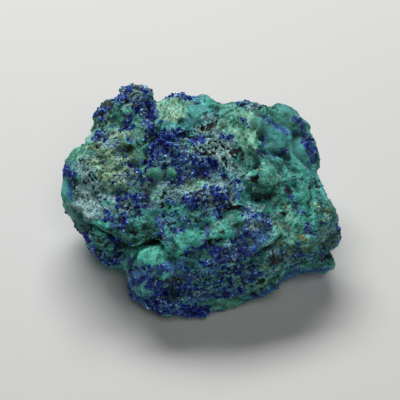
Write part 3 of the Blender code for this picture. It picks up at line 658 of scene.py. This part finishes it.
    ("azurite", (4, 0.7, 171, 182, 183, 181), (4, 0.6, 217, 203, 225, 203), (5, 0.6, 135, 199, 145, 199),
     (4, 0.6, 147, 97, 151, 103), (5, 0.6, 216, 191, 224, 190), (4, 0.6, 117, 219, 122, 217),
     (3, 0.5, 153, 124, 159, 124), (5, 0.4, 244, 212, 250, 216), (4, 0.5, 138, 182, 144, 180)),
    # painted shade: the black along the cave mouth, and the deep green a few lines down in the cave
    ("black", (5, 0.3, 100, 105, 109, 101), (2, 1, 146, 243, 153, 241, 161, 237),
     (6, 0.4, 104, 104, 98, 110), (2, 0.7, 144, 231, 154, 230), (6, 0.45, 150, 284, 164, 286, 180, 284),
     (14, 0.1, 120, 240, 106, 250, 98, 240), (4, 0.4, 147, 139, 152, 143), (4, 0.3, 250, 294, 260, 292),
     (5, 0.4, 148, 141, 154, 145)), ("mint", (7, 0.5, 277, 236, 288, 240), (5, 0.7, 278, 228, 288, 230),
     (3, 0.5, 142, 128, 147, 129), (4, 0.6, 278, 236, 285, 238), (4, 0.4, 240, 214, 246, 216),
     (3, 0.4, 226, 246, 231, 246)), ("deepGreen", (3, 1, 141, 228, 155, 228), (2, 1, 141, 238, 150, 237),
     (5, 0.5, 322, 202, 332, 206), (2, 1, 142, 240, 150, 238), (3, 1, 140, 237, 150, 236)),
    ("teal", (9, 0.3, 96, 238, 104, 252, 118, 256), (14, 0.14, 150, 296, 180, 300, 220, 284),
     # painted light: the bright strokes that follow lighten faces that the relief leaves in shadow, on the
     # bulge, below the overhanging lump and at the left foot
     (3, 1, 162, 242, 166, 251)), ("bright", (5, 0.7, 243, 167, 250, 172), (5, 0.8, 146, 249, 152, 256),
     (5, 0.8, 258, 207, 270, 208), (3, 0.5, 255, 190, 262, 192), (4, 0.7, 124, 250, 132, 252),
     (4, 0.7, 95, 228, 102, 228), (5, 0.5, 98, 227, 103, 229), (6, 1, 186, 238, 199, 233),
     (4, 0.6, 61, 196, 62, 202)), ("pale", (4, 0.6, 148, 201, 154, 202), (4, 0.5, 222, 188, 230, 188),
     (4, 0.3, 250, 294, 260, 292), (4, 0.6, 257, 207, 264, 207), (4, 0.6, 148, 202, 154, 203),
     (3, 0.4, 127, 190, 132, 190), (5, 0.7, 109, 143, 114, 142), (9, 0.3, 124, 91, 146, 92)),
    ("deepAzurite", (5, 0.6, 252, 272, 260, 274), (7, 1, 98, 112, 106, 102), (5, 0.8, 92, 252, 98, 256),
     (4, 0.9, 309, 140, 314, 150), (4, 0.8, 156, 308, 168, 310), (4, 0.7, 200, 172, 206, 170),
     (3, 0.7, 161, 310, 168, 311), (5, 0.6, 199, 174, 206, 172)), ("black", (5, 0.4, 252, 272, 260, 274),
     (6, 0.4, 98, 112, 108, 101), (5, 0.5, 92, 250, 102, 258), (5, 0.5, 98, 108, 108, 104),
     (6, 0.6, 99, 109, 107, 103), (4, 0.4, 98, 243, 106, 244), (4, 0.35, 311, 148, 316, 151)),
    ("blueFilm", (4, 0.8, 160, 273, 170, 272), (2.5, 0.8, 146, 270, 160, 266, 172, 262),
     (4, 0.6, 255, 236, 267, 236), (1.5, 0.8, 160, 234, 168, 246), (3, 0.6, 158, 218, 160, 225),
     (3, 0.5, 192, 96, 196, 95)), ("chalk", (4, 0.6, 122, 176, 128, 177), (4, 0.5, 106, 198, 112, 198)),
    ("greenBead", (5, 1, 172, 171, 172, 176), (3, 0.6, 146, 153, 150, 156)),
    # painted light: bright strokes over the shaded underside of the bulge
    ("bright", (3, 0.8, 160, 278, 168, 276), (4, 0.6, 170, 266, 182, 262), (4, 0.5, 150, 263, 160, 261),
     (3, 0.6, 140, 268, 148, 268), (3, 0.8, 159, 246, 164, 246)), ("moss", (4, 0.6, 112, 182, 120, 183),
     (4, 0.4, 104, 120, 110, 121), (4, 0.4, 314, 203, 326, 209), (4, 0.5, 127, 186, 133, 186),
     # painted shade: darkened moss
     (4, 0.6, 122, 158, 128, 158)), ("darkMoss", (4, 0.4, 97, 125, 105, 126),
     (5, 0.6, 322, 204, 331, 209), (3, 0.7, 131, 161, 137, 161), (3, 0.6, 132, 165, 138, 165)),
    ("azurite", (3, 0.5, 137, 200, 143, 198), (3, 0.6, 168, 182, 174, 182)),
    # painted light: these mint strokes lighten the shaded top left of the overhanging lump, the place under
    # it and the side of the cave
    ("mint", (4, 0.6, 241, 170, 247, 172), (3, 0.5, 255, 190, 262, 192), (4, 0.6, 124, 247, 130, 247),
     (3, 0.5, 63, 204, 68, 206)), ("mintBead", (4, 0.9, 247, 127, 254, 136),
     (3, 0.7, 254, 190, 262, 193)), ("pale", (14, 0.08, 180, 284, 230, 270, 260, 262),
     (3, 0.5, 118, 204, 124, 204), (3, 0.5, 129, 191, 134, 190)), ("black", (5, 0.8, 160, 285, 174, 287),
     (5, 0.4, 226, 250, 234, 249), (4, 0.35, 97, 126, 102, 129), (4, 0.4, 225, 262, 231, 262)),
    ("deepAzurite", (5, 0.7, 160, 296, 172, 297), (5, 0.6, 148, 286, 160, 286),
     (4, 0.6, 178, 287, 186, 288), (4, 0.6, 203, 265, 211, 264)),
    ("blueFilm", (3, 0.9, 160, 270, 172, 269), (4, 0.7, 171, 264, 181, 263), (4, 0.6, 169, 302, 176, 301),
     (4, 0.7, 167, 268, 174, 268)), ("bright", (4, 0.5, 170, 257, 176, 258)),
    ("azurite", (12, 0.2, 250, 262, 276, 262, 300, 256)), ("pale", (5, 0.7, 264, 246, 274, 248),
     (3, 0.4, 169, 302, 176, 301), (4, 0.6, 266, 247, 274, 246)), ("green", (5, 0.9, 234, 121, 240, 125),
     (4, 0.5, 236, 227, 242, 227), (3, 0.5, 183, 217, 188, 217)),
    ("deepAzurite", (4, 0.6, 244, 280, 252, 280), (4, 0.6, 156, 300, 163, 301),
     (3, 0.5, 160, 267, 166, 270)), ("blueFilm", (4, 0.6, 244, 242, 252, 246),
     (5, 0.6, 170, 300, 177, 299), (3, 0.6, 257, 243, 264, 243)), ("moss", (3, 0.4, 129, 188, 134, 188)),
    # painted shade: darkened moss
    ("darkMoss", (5, 0.6, 292, 250, 314, 247), (4, 0.5, 299, 252, 307, 251)),
    ("ochre", (8, 0.05, 124, 91, 146, 92)), ("pale", (5, 0.4, 170, 300, 177, 302),
     (4, 0.4, 244, 242, 249, 244)), ("mint", (4, 0.4, 302, 245, 308, 244)),
    ("olive", (4, 0.6, 262, 268, 270, 269)), ("black", (5, 0.4, 272, 257, 280, 257),
     (3, 1, 274, 263, 280, 262), (4, 0.3, 203, 265, 211, 264), (4, 0.4, 276, 266, 283, 266)),
]

# dustings: the same, with how densely each is speckled
dustings = [
    ("ochre", (16, 0.14, 282, 226, 298, 238, 312, 216), (12, 0.12, 100, 150, 104, 166, 124, 180),
     (14, 0.12, 134, 96, 120, 112, 150, 130), (16, 0.12, 170, 190, 196, 186, 214, 200)),
    ("black", (22, 0.1, 276, 170, 300, 200, 320, 214, 290, 236), (18, 0.1, 170, 240, 204, 226, 150, 222),
     (16, 0.14, 100, 158, 110, 184, 130, 140)),
    ("azurite", (16, 0.08, 110, 200, 150, 208, 190, 208, 210, 182), (12, 0.14, 112, 150, 126, 170)),
    ("pale", (12, 0.12, 230, 276, 250, 268), (16, 0.26, 158, 144, 180, 158, 210, 190),
     (14, 0.18, 270, 216, 300, 226, 310, 200)),
    ("olive", (12, 0.22, 326, 214, 326, 240, 300, 250)),
    ("mint", (16, 0.22, 284, 180, 304, 206, 290, 232)),
    ("green", (18, 0.25, 200, 108, 240, 112, 250, 140)),
]

paint = {
    "wander": 1.8,                      # how far a border strays, pixels
    "wanderSize": 1.3 * mm,
    "edge": 2.2,                        # width of a border, pixels
    "speckle": 0.85 * mm,               # size of the gaps in a thin cover
    "pits": 0.72 * mm,                  # how far apart the black pits are
}

# what grows on the sides that the strokes don't reach: patches of a random size, mineral and place
farSides = {
    "patches": 260,
    "radius": (1.2 * mm, 5.5 * mm),
    "mix": {"azurite": 9, "blueFilm": 3, "pale": 5, "moss": 3, "mint": 3, "bright": 4, "green": 4,
            "deepGreen": 5, "black": 4, "olive": 2, "ochre": 2},
}


def strokeDistance(spots, path):
    nearest = np.full(len(spots), np.inf)
    ends = list(zip(path[::2], path[1::2]))
    if len(ends) == 1:
        ends *= 2                       # a single dab
    for start, end in zip(ends, ends[1:]):
        start, run = np.array(start, float), np.subtract(end, start).astype(float)
        share = np.clip((spots - start) @ run / max(run @ run, 1e-9), 0, 1)
        nearest = np.minimum(nearest, np.linalg.norm(spots - start - share[:, None] * run, axis=1))
    return nearest


def orderOf(mineral):
    return list(minerals).index(mineral)


def eachOf(bundles):
    return [(mineral, *single) for mineral, *bundle in bundles for single in bundle]


def cover(shares, mineral, inside):
    shares *= 1 - inside
    shares[orderOf(mineral)] += inside


def paintMinerals(points, normals):
    shares = np.zeros((len(minerals), len(points)))
    shares[0] = 1                       # teal, where nothing else lies
    stray = np.stack([softNoise(points, paint["wanderSize"], seed) for seed in (1, 2, 3)], axis=1)
    speckles = [softNoise(points, paint["speckle"], seed) for seed in (4, 5, 6)]
    pitted = 0.35 * softNoise(points, 2.5 * mm, 7) - cells(points, paint["pits"], 9)[0]
    speckles += [pitted.argsort().argsort() / len(points) - 0.5, softNoise(points, 1.1 * mm, 8)]
    seen = ramp(normals @ np.array(towardsCamera), -0.1, 0.15)
    dice = np.random.default_rng(5)
    names, odds = zip(*farSides["mix"].items())
    strayed = points + paint["wander"] * pixel * stray
    for patch in range(farSides["patches"]):
        centre = points[dice.integers(len(points))]
        reach = dice.uniform(*farSides["radius"])
        mineral = dice.choice(names, p=np.array(odds) / sum(odds))
        inside = ramp(reach - np.linalg.norm(strayed - centre, axis=1), -0.3 * mm, 0.3 * mm) * (1 - seen)
        if mineral in ("black", "ochre"):
            inside *= ramp(speckles[3], 0.1, 0.26)
        cover(shares, mineral, inside)
    spots = toPicture(points) + paint["wander"] * stray[:, :2]
    for mineral, radius, share, *path in eachOf(strokes):
        inside = ramp(radius - strokeDistance(spots, path), -paint["edge"] / 2, paint["edge"] / 2) * seen
        if share < 1:
            kind = {"black": 3, "azurite": 4, "deepAzurite": 4}.get(mineral, orderOf(mineral) % 3)
            inside *= ramp(speckles[kind], 0.42 - share, 0.58 - share)
        cover(shares, mineral, inside)
    for mineral, radius, share, *path in eachOf(dustings):
        inside = ramp(radius - strokeDistance(spots, path), -radius / 2, radius / 2) * seen
        shares[orderOf(mineral)] += share * inside
    return shares


shares = paintMinerals(rockPoints, rockNormals)
print("minerals painted:", len(eachOf(strokes)), "strokes")

# the relief that lumps, grains and beds add
relief = {
    "boss": (3.4 * mm, 0.75 * mm),      # size, and height on the lumpiest mineral
    "lump": (1.7 * mm, 0.55 * mm),
    "grain": (0.8 * mm, 0.8 * mm),
    "crease": 0.22 * mm,                # how deep the gaps between lumps are
    "beds": 2.0 * mm,                   # from one ledge to the next
    "ledge": 0.34 * mm,
    "bedded": (11 * mm, 19 * mm),       # ledges fade between these heights
    "pit": 0.35 * mm,                   # how deep the black gaps are
}


def mixed(kind):
    column = columns.index(kind)
    return sum(row[column] * share for row, share in zip(minerals.values(), shares))


def roughenRock():
    bosses, bossGap = cells(rockPoints, relief["boss"][0], 1)
    lumps, lumpGap = cells(rockPoints, relief["lump"][0], 2)
    grains = cells(rockPoints, relief["grain"][0], 3)[0]
    lumpy, grainy = mixed("lumps"), mixed("grain")
    push = (0.40 - bosses) * lumpy * relief["boss"][1] + (0.40 - lumps) * lumpy * relief["lump"][1]
    push += (0.40 - grains) * grainy * relief["grain"][1]
    push -= relief["crease"] * lumpy * (1 - ramp(bossGap, 0, 0.16) + 0.7 * (1 - ramp(lumpGap, 0, 0.2)))
    steep = ramp(-np.abs(rockNormals[:, 2]), -0.7, -0.3)
    steep *= 1 - 0.8 * ramp(rockPoints[:, 2], *relief["bedded"])
    bed = rockPoints @ np.array((0.10, 0.12, 1.0)) / relief["beds"] + 0.8 * softNoise(rockPoints, 6 * mm, 6)
    rise = bed % 1
    ledge = ramp(rise, 0, 0.7) * (1 - ramp(rise, 0.82, 1.0)) - 0.4
    push += relief["ledge"] * steep * ledge * ramp(lumpy, 0.1, 0.4)
    push -= relief["pit"] * shares[orderOf("black")] + rock["sunk"]
    return rockPoints + rockNormals * push[:, None]


# painted shade: the rock's colour is darkened in its hollows and creases and lightened a little on faces
# that stand free
hollowShade = {
    "open": 1.12,                       # how light a face is that stands free
    "loss": 0.75,                       # how much of that a hollow takes
    "between": (-0.12 * mm, 0.28 * mm),
}


def hollows(points, normals):
    return ((averaged(points, 8) - points) * normals).sum(axis=1)


def withinLump(points):
    low, high = (np.array(corner) for corner in cadBox)
    margin = rock["margin"]
    gap = np.minimum((high - points) / margin, 1)
    points = points - np.where(gap < 1, np.exp(gap - 1) - gap, 0) * margin
    gap = np.minimum((points - low) / margin, 1)
    gap[:, 2] = 1                       # the underside stays flat
    points = points + np.where(gap < 1, np.exp(gap - 1) - gap, 0) * margin
    return np.clip(points, low, high)


def movePoints(data, points):
    data.vertices.foreach_set("co", withinLump(points).ravel())
    data.update()


def addMask(data, name, values):
    data.attributes.new(name, "FLOAT", "POINT").data.foreach_set("value", values.astype(np.float32))


movePoints(rockMesh, roughenRock())
rockPoints = pointsOf(rockMesh)
rockNormals = normalsOf(rockMesh)
hollow = hollows(rockPoints, rockNormals)
# the painted shade of each point, kept as the shade attribute
shade = hollowShade["open"] - hollowShade["loss"] * ramp(hollow, *hollowShade["between"])
for name, share in zip(minerals, shares):
    addMask(rockMesh, name, share)
addMask(rockMesh, "shade", shade)
rockMesh.shade_smooth()
rockPiece = linked("rock", rockMesh)
print("rock roughened")

# crystals and crumbs strewn over the rock
wedge = {                               # a tapered crystal with a slanting end
    "points": [(-1, -1, -0.6), (1, -1, -0.6), (1, 1, -0.6), (-1, 1, -0.6),
               (-0.75, -0.8, 0.8), (0.8, -0.7, 1.2), (0.65, 0.8, 1.0), (-0.7, 0.7, 0.6)],
    "faces": [(3, 2, 1, 0), (0, 1, 5, 4), (1, 2, 6, 5), (2, 3, 7, 6), (3, 0, 4, 7), (4, 5, 6, 7)],
}
chip = {                                # an eight-sided splinter
    "points": [(1, 0.1, 0), (0, 1, 0.1), (-0.9, 0, 0.15), (0.1, -1, 0), (0.15, 0.1, 0.9), (0, 0, -0.9)],
    "faces": [(0, 1, 4), (1, 2, 4), (2, 3, 4), (3, 0, 4), (1, 0, 5), (2, 1, 5), (3, 2, 5), (0, 3, 5)],
}


def ballShape(subdivisions):
    ball = bmesh.new()
    bmesh.ops.create_icosphere(ball, subdivisions=subdivisions, radius=1)
    shape = {
        "points": [tuple(corner.co) for corner in ball.verts],
        "faces": [tuple(corner.index for corner in face.verts) for face in ball.faces],
    }
    ball.free()
    return shape


def rockTriangles():
    rockMesh.calc_loop_triangles()
    corners = np.empty(len(rockMesh.loop_triangles) * 3, np.int32)
    rockMesh.loop_triangles.foreach_get("vertices", corners)
    return corners.reshape(-1, 3)


triangles = rockTriangles()
spread = {                              # half sizes as shares of the length, and how the tone varies
    "wide": (0.35, 0.6),
    "tall": (0.4, 0.75),
    "tone": (0.6, 1.25),
}


def strew(name, shape, density, kind):
    dice = np.random.default_rng(kind["seed"])
    count = kind["count"]
    a, b, c = (rockPoints[triangles[:, side]] for side in range(3))
    cross = np.cross(b - a, c - a)
    area = np.linalg.norm(cross, axis=1) + 1e-15
    chance = area * density[triangles].mean(axis=1)
    chosen = dice.choice(len(triangles), count, p=chance / chance.sum())
    weights = dice.dirichlet((1, 1, 1), count)
    corners = triangles[chosen]
    spots = (rockPoints[corners] * weights[:, :, None]).sum(axis=1)
    axis = cross[chosen] / area[chosen][:, None] + kind["lean"] * dice.normal(size=(count, 3))
    axis /= np.linalg.norm(axis, axis=1)[:, None]
    side = np.cross(axis, dice.normal(size=(count, 3)))
    side /= np.linalg.norm(side, axis=1)[:, None]
    other = np.cross(axis, side)
    size = dice.uniform(0, 1, size=(count, 1)) ** kind["fewBig"]
    size = kind["size"][0] + (kind["size"][1] - kind["size"][0]) * size
    wide = size * dice.uniform(*spread["wide"], size=(count, 2))
    tall = size * dice.uniform(*spread["tall"], size=(count, 1))
    form = np.array(shape["points"])
    placed = (
        spots[:, None, :]
        + form[None, :, :1] * (side * wide[:, :1])[:, None, :]
        + form[None, :, 1:2] * (other * wide[:, 1:])[:, None, :]
        + (form[None, :, 2:] + kind["proud"]) * (axis * tall)[:, None, :]
    )
    low, high = (np.array(corner) for corner in cadBox)
    kept = ((placed > low) & (placed < high)).all(axis=(1, 2))
    placed, corners, weights = placed[kept], corners[kept], weights[kept]
    count = len(placed)
    data = bpy.data.meshes.new(name)
    faces = np.array(shape["faces"])[None] + len(form) * np.arange(count)[:, None, None]
    data.from_pydata(placed.reshape(-1, 3), [], faces.reshape(-1, faces.shape[2]))
    data.update()
    for mineral, share in zip(minerals, shares):
        addMask(data, mineral, np.repeat((share[corners] * weights).sum(axis=1), len(form)))
    # each piece takes the painted shade of the rock under it, times a random tone of its own
    under = (shade[corners] * weights).sum(axis=1)
    addMask(data, "shade", np.repeat(under * dice.uniform(*spread["tone"], count), len(form)))
    # where each crystal sits on the azurite tones: random, with the light end, the painted glints, kept
    # mostly to crystals that face up
    toneAndGlint = dice.random(count) * (0.74 + 0.26 * ramp(cross[chosen][kept, 2] / area[chosen][kept], 0.35, 0.7))
    addMask(data, "toneAndGlint", np.repeat(toneAndGlint, len(form)))
    print(" ", name, count, "pieces,", len(data.polygons), "faces")
    return linked(name, data)


azuriteShare = shares[orderOf("azurite")] + shares[orderOf("deepAzurite")]
crystals = {"count": 7000, "size": (0.28 * mm, 0.62 * mm), "fewBig": 2.4, "lean": 0.6, "proud": 0.3,
            "seed": 11}
fineDruse = {"count": 24500, "size": (0.16 * mm, 0.42 * mm), "fewBig": 1.3, "lean": 0.7, "proud": 0.35,
             "seed": 12}
paleCrumbs = {"count": 9400, "size": (0.2 * mm, 0.7 * mm), "fewBig": 1.8, "lean": 0.5, "proud": 0.15,
              "seed": 13}
chips = {"count": 22000, "size": (0.2 * mm, 0.7 * mm), "fewBig": 2.0, "lean": 0.6, "proud": 0.1, "seed": 14}

druseGaps = 0.04 + ramp(softNoise(rockPoints, 1.4 * mm, 21, 4), -0.2, 0.2)
azuriteBig = strew("azurite_crystals", wedge, azuriteShare ** 2 * druseGaps, crystals)
azuriteFine = strew("azurite_druse", chip, azuriteShare * druseGaps, fineDruse)
crumbs = strew("chrysocolla_crumbs", ballShape(1), ramp(mixed("crumbs"), 0.55, 1.0), paleCrumbs)
splinters = strew("malachite_chips", chip, mixed("crumbs") * (1 - 0.6 * azuriteShare), chips)
print("crystals and crumbs strewn")


def srgb(red, green, blue):
    def straight(value):
        value /= 255
        return value / 12.92 if value <= 0.04045 else ((value + 0.055) / 1.055) ** 2.4
    return (straight(red), straight(green), straight(blue), 1)


def newGroup(name, inputs, outputs):
    group = bpy.data.node_groups.new(name, "ShaderNodeTree")
    for title, kind, value in inputs:
        socket = group.interface.new_socket(title, in_out="INPUT", socket_type=kind)
        if value is not None:
            socket.default_value = value
    for title, kind in outputs:
        group.interface.new_socket(title, in_out="OUTPUT", socket_type=kind)
    return group, group.nodes.new("NodeGroupInput"), group.nodes.new("NodeGroupOutput")


def feed(tree, value, socket):
    if isinstance(value, bpy.types.NodeSocket):
        tree.links.new(value, socket)
    elif value is not None:
        socket.default_value = value


def calculate(tree, operation, *values, clamp=False):
    made = tree.nodes.new("ShaderNodeMath")
    made.operation = operation
    made.use_clamp = clamp
    for value, socket in zip(values, made.inputs):
        feed(tree, value, socket)
    return made.outputs[0]


def blend(tree, factor, first, second, mode="MIX"):
    made = tree.nodes.new("ShaderNodeMix")
    made.data_type = "RGBA"
    made.blend_type = mode
    for value, socket in ((factor, made.inputs[0]), (first, made.inputs[6]), (second, made.inputs[7])):
        feed(tree, value, socket)
    return made.outputs[2]


def noiseOf(tree, size, detail=4, roughness=0.6):
    made = tree.nodes.new("ShaderNodeTexNoise")
    made.inputs["Scale"].default_value = 1 / size
    made.inputs["Detail"].default_value = detail
    made.inputs["Roughness"].default_value = roughness
    place = tree.nodes.new("ShaderNodeTexCoord")
    tree.links.new(place.outputs["Object"], made.inputs["Vector"])
    return made.outputs["Fac"]


def attribute(tree, name):
    made = tree.nodes.new("ShaderNodeAttribute")
    made.attribute_name = name
    return made.outputs["Fac"]


def makeMottle():
    group, given, out = newGroup(
        "mottle",
        [("Dark", "NodeSocketColor", None), ("Middle", "NodeSocketColor", None),
         ("Light", "NodeSocketColor", None),
         ("Cloud", "NodeSocketFloat", 0.5), ("Fleck", "NodeSocketFloat", 0.5)],
        [("Colour", "NodeSocketColor")],
    )
    spread = calculate(group, "MULTIPLY_ADD", given.outputs["Cloud"], 3.4, -1.2, clamp=True)
    flecks = calculate(group, "MULTIPLY_ADD", given.outputs["Fleck"], 4.5, -2.1, clamp=True)
    base = blend(group, spread, given.outputs["Dark"], given.outputs["Middle"])
    lit = calculate(group, "MULTIPLY", flecks, spread)
    group.links.new(blend(group, lit, base, given.outputs["Light"]), out.inputs["Colour"])
    return group


def makeRagged():
    group, given, out = newGroup(
        "raggedEdge",
        [("Mask", "NodeSocketFloat", 0.0), ("Noise", "NodeSocketFloat", 0.5),
         ("Stray", "NodeSocketFloat", 1.4)],
        [("Mask", "NodeSocketFloat")],
    )
    centred = calculate(group, "SUBTRACT", given.outputs["Noise"], 0.5)
    strayed = calculate(group, "MULTIPLY_ADD", centred, given.outputs["Stray"], given.outputs["Mask"])
    group.links.new(calculate(group, "MULTIPLY_ADD", strayed, 4.0, -1.5, clamp=True), out.inputs["Mask"])
    return group


mottle = makeMottle()
ragged = makeRagged()


def useGroup(tree, group, **values):
    made = tree.nodes.new("ShaderNodeGroup")
    made.node_tree = group
    for title, value in values.items():
        feed(tree, value, made.inputs[title])
    return made.outputs[0]


def bump(tree, shader, height, depth):
    made = tree.nodes.new("ShaderNodeBump")
    made.inputs["Distance"].default_value = depth
    tree.links.new(height, made.inputs["Height"])
    tree.links.new(made.outputs["Normal"], shader.inputs["Normal"])


def newMaterial(name, roughness, gloss=0.5):
    made = bpy.data.materials.new(name)
    made.use_nodes = True
    shader = made.node_tree.nodes["Principled BSDF"]
    shader.inputs["Roughness"].default_value = roughness
    shader.inputs["Specular IOR Level"].default_value = gloss
    return made, made.node_tree, shader


# scales a colour by the shade attribute: painted shade of the hollows, times a random tone on the strewn
# pieces
def shaded(tree, colour, shader):
    dimmed = tree.nodes.new("ShaderNodeVectorMath")
    dimmed.operation = "SCALE"
    tree.links.new(colour, dimmed.inputs[0])
    tree.links.new(attribute(tree, "shade"), dimmed.inputs["Scale"])
    tree.links.new(dimmed.outputs[0], shader.inputs["Base Color"])


def rockMaterial():
    made, tree, shader = newMaterial("mixedCrust", 0.62, 0.35)
    broad = calculate(tree, "MULTIPLY_ADD", noiseOf(tree, 5.5 * mm, 2), 0.5, -0.25)
    cloud = calculate(tree, "ADD", noiseOf(tree, 2.0 * mm, 5, 0.68), broad)
    fleck = noiseOf(tree, 0.42 * mm, 3, 0.6)
    colour = None
    for name, row in minerals.items():
        dark, middle, light = (srgb(*tone) for tone in row[3:])
        tones = useGroup(tree, mottle, Dark=dark, Middle=middle, Light=light, Cloud=cloud, Fleck=fleck)
        if colour is None:
            colour = tones
            continue
        edge = noiseOf(tree, edges.get(name, edges["others"]) * mm, 3, 0.6)
        colour = blend(tree, useGroup(tree, ragged, Mask=attribute(tree, name), Noise=edge), colour, tones)
    shaded(tree, colour, shader)
    polish = calculate(tree, "ADD", attribute(tree, "bead"), attribute(tree, "greenBead"))
    polish = calculate(tree, "ADD", polish, attribute(tree, "darkBead"))
    rough = calculate(tree, "MULTIPLY_ADD", polish, -0.8, 1.0)
    height = calculate(tree, "MULTIPLY", noiseOf(tree, 0.45 * mm, 4, 0.65), rough)
    bump(tree, shader, height, 0.25 * mm)
    return made


# azurite from its dark faces to its glints: the mineral's blue tones, with painted shade at the dark end
# and painted glints at the light end
crystalTones = [
    (0.0, (9, 11, 58)),
    (0.34, (25, 37, 146)),
    (0.64, (46, 76, 208)),
    (0.87, (86, 142, 216)),
    (0.98, (178, 224, 228)),
]


def crystalMaterial():
    made, tree, shader = newMaterial("azuriteCrystal", 0.45, 0.28)
    tones = tree.nodes.new("ShaderNodeValToRGB")
    for number, (place, tone) in enumerate(crystalTones):
        stop = tones.color_ramp.elements[number] if number < 2 else tones.color_ramp.elements.new(place)
        stop.position = place
        stop.color = srgb(*tone)
    patches = calculate(tree, "MULTIPLY_ADD", noiseOf(tree, 1.5 * mm, 3), 3.0, -1.30)
    # each crystal's place from dark faces to painted glints, moved by patches of random tone
    toneAndGlintPlace = calculate(tree, "MULTIPLY_ADD", attribute(tree, "toneAndGlint"), 0.72, patches, clamp=True)
    tree.links.new(toneAndGlintPlace, tones.inputs["Fac"])
    shaded(tree, tones.outputs["Color"], shader)
    bump(tree, shader, noiseOf(tree, 0.2 * mm, 2), 0.04 * mm)
    return made


crust = rockMaterial()
for piece in (rockPiece, crumbs, splinters):
    piece.data.materials.append(crust)
azurite = crystalMaterial()
for piece in (azuriteBig, azuriteFine):
    piece.data.materials.append(azurite)
for piece in (rockPiece, azuriteBig, azuriteFine, crumbs, splinters):
    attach(piece, "root")
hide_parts("azurite_specimen")
print("materials made")

# floor and light
studio = {
    "floor": (228, 228, 226),
    "middle": (0, 0, 0.015),            # what the lamps face
    "fill": 0.02,
    "lamps": {                          # watts, width and height, place
        "window": (3.7, (0.50, 0.22), (-0.082, 0.355, 0.517)),
        "front": (0.75, (0.30, 0.30), (0.080, -0.299, 0.552)),
    },
}


def makeStudio():
    floorMesh = bpy.data.meshes.new("floor")
    floorMesh.from_pydata([(-3, -3, 0), (3, -3, 0), (3, 3, 0), (-3, 3, 0)], [], [(0, 1, 2, 3)])
    paper, tree, shader = newMaterial("paper", 0.9, 0.1)
    shader.inputs["Base Color"].default_value = srgb(*studio["floor"])
    floorMesh.materials.append(paper)
    linked("floor", floorMesh)
    for name, (energy, (width, height), place) in studio["lamps"].items():
        data = bpy.data.lights.new(name, "AREA")
        data.energy = energy
        data.shape = "RECTANGLE"
        data.size = width
        data.size_y = height
        lamp = linked(name, data)
        lamp.location = place
        lamp.rotation_euler = (Vector(studio["middle"]) - lamp.location).to_track_quat("-Z", "Y").to_euler()
    world = bpy.data.worlds.new("studio")
    world.use_nodes = True
    world.node_tree.nodes["Background"].inputs["Color"].default_value = (1, 1, 1, 1)
    world.node_tree.nodes["Background"].inputs["Strength"].default_value = studio["fill"]
    bpy.context.scene.world = world
    bpy.context.scene.view_settings.view_transform = "Standard"


makeStudio()

print("azurite specimen: done")
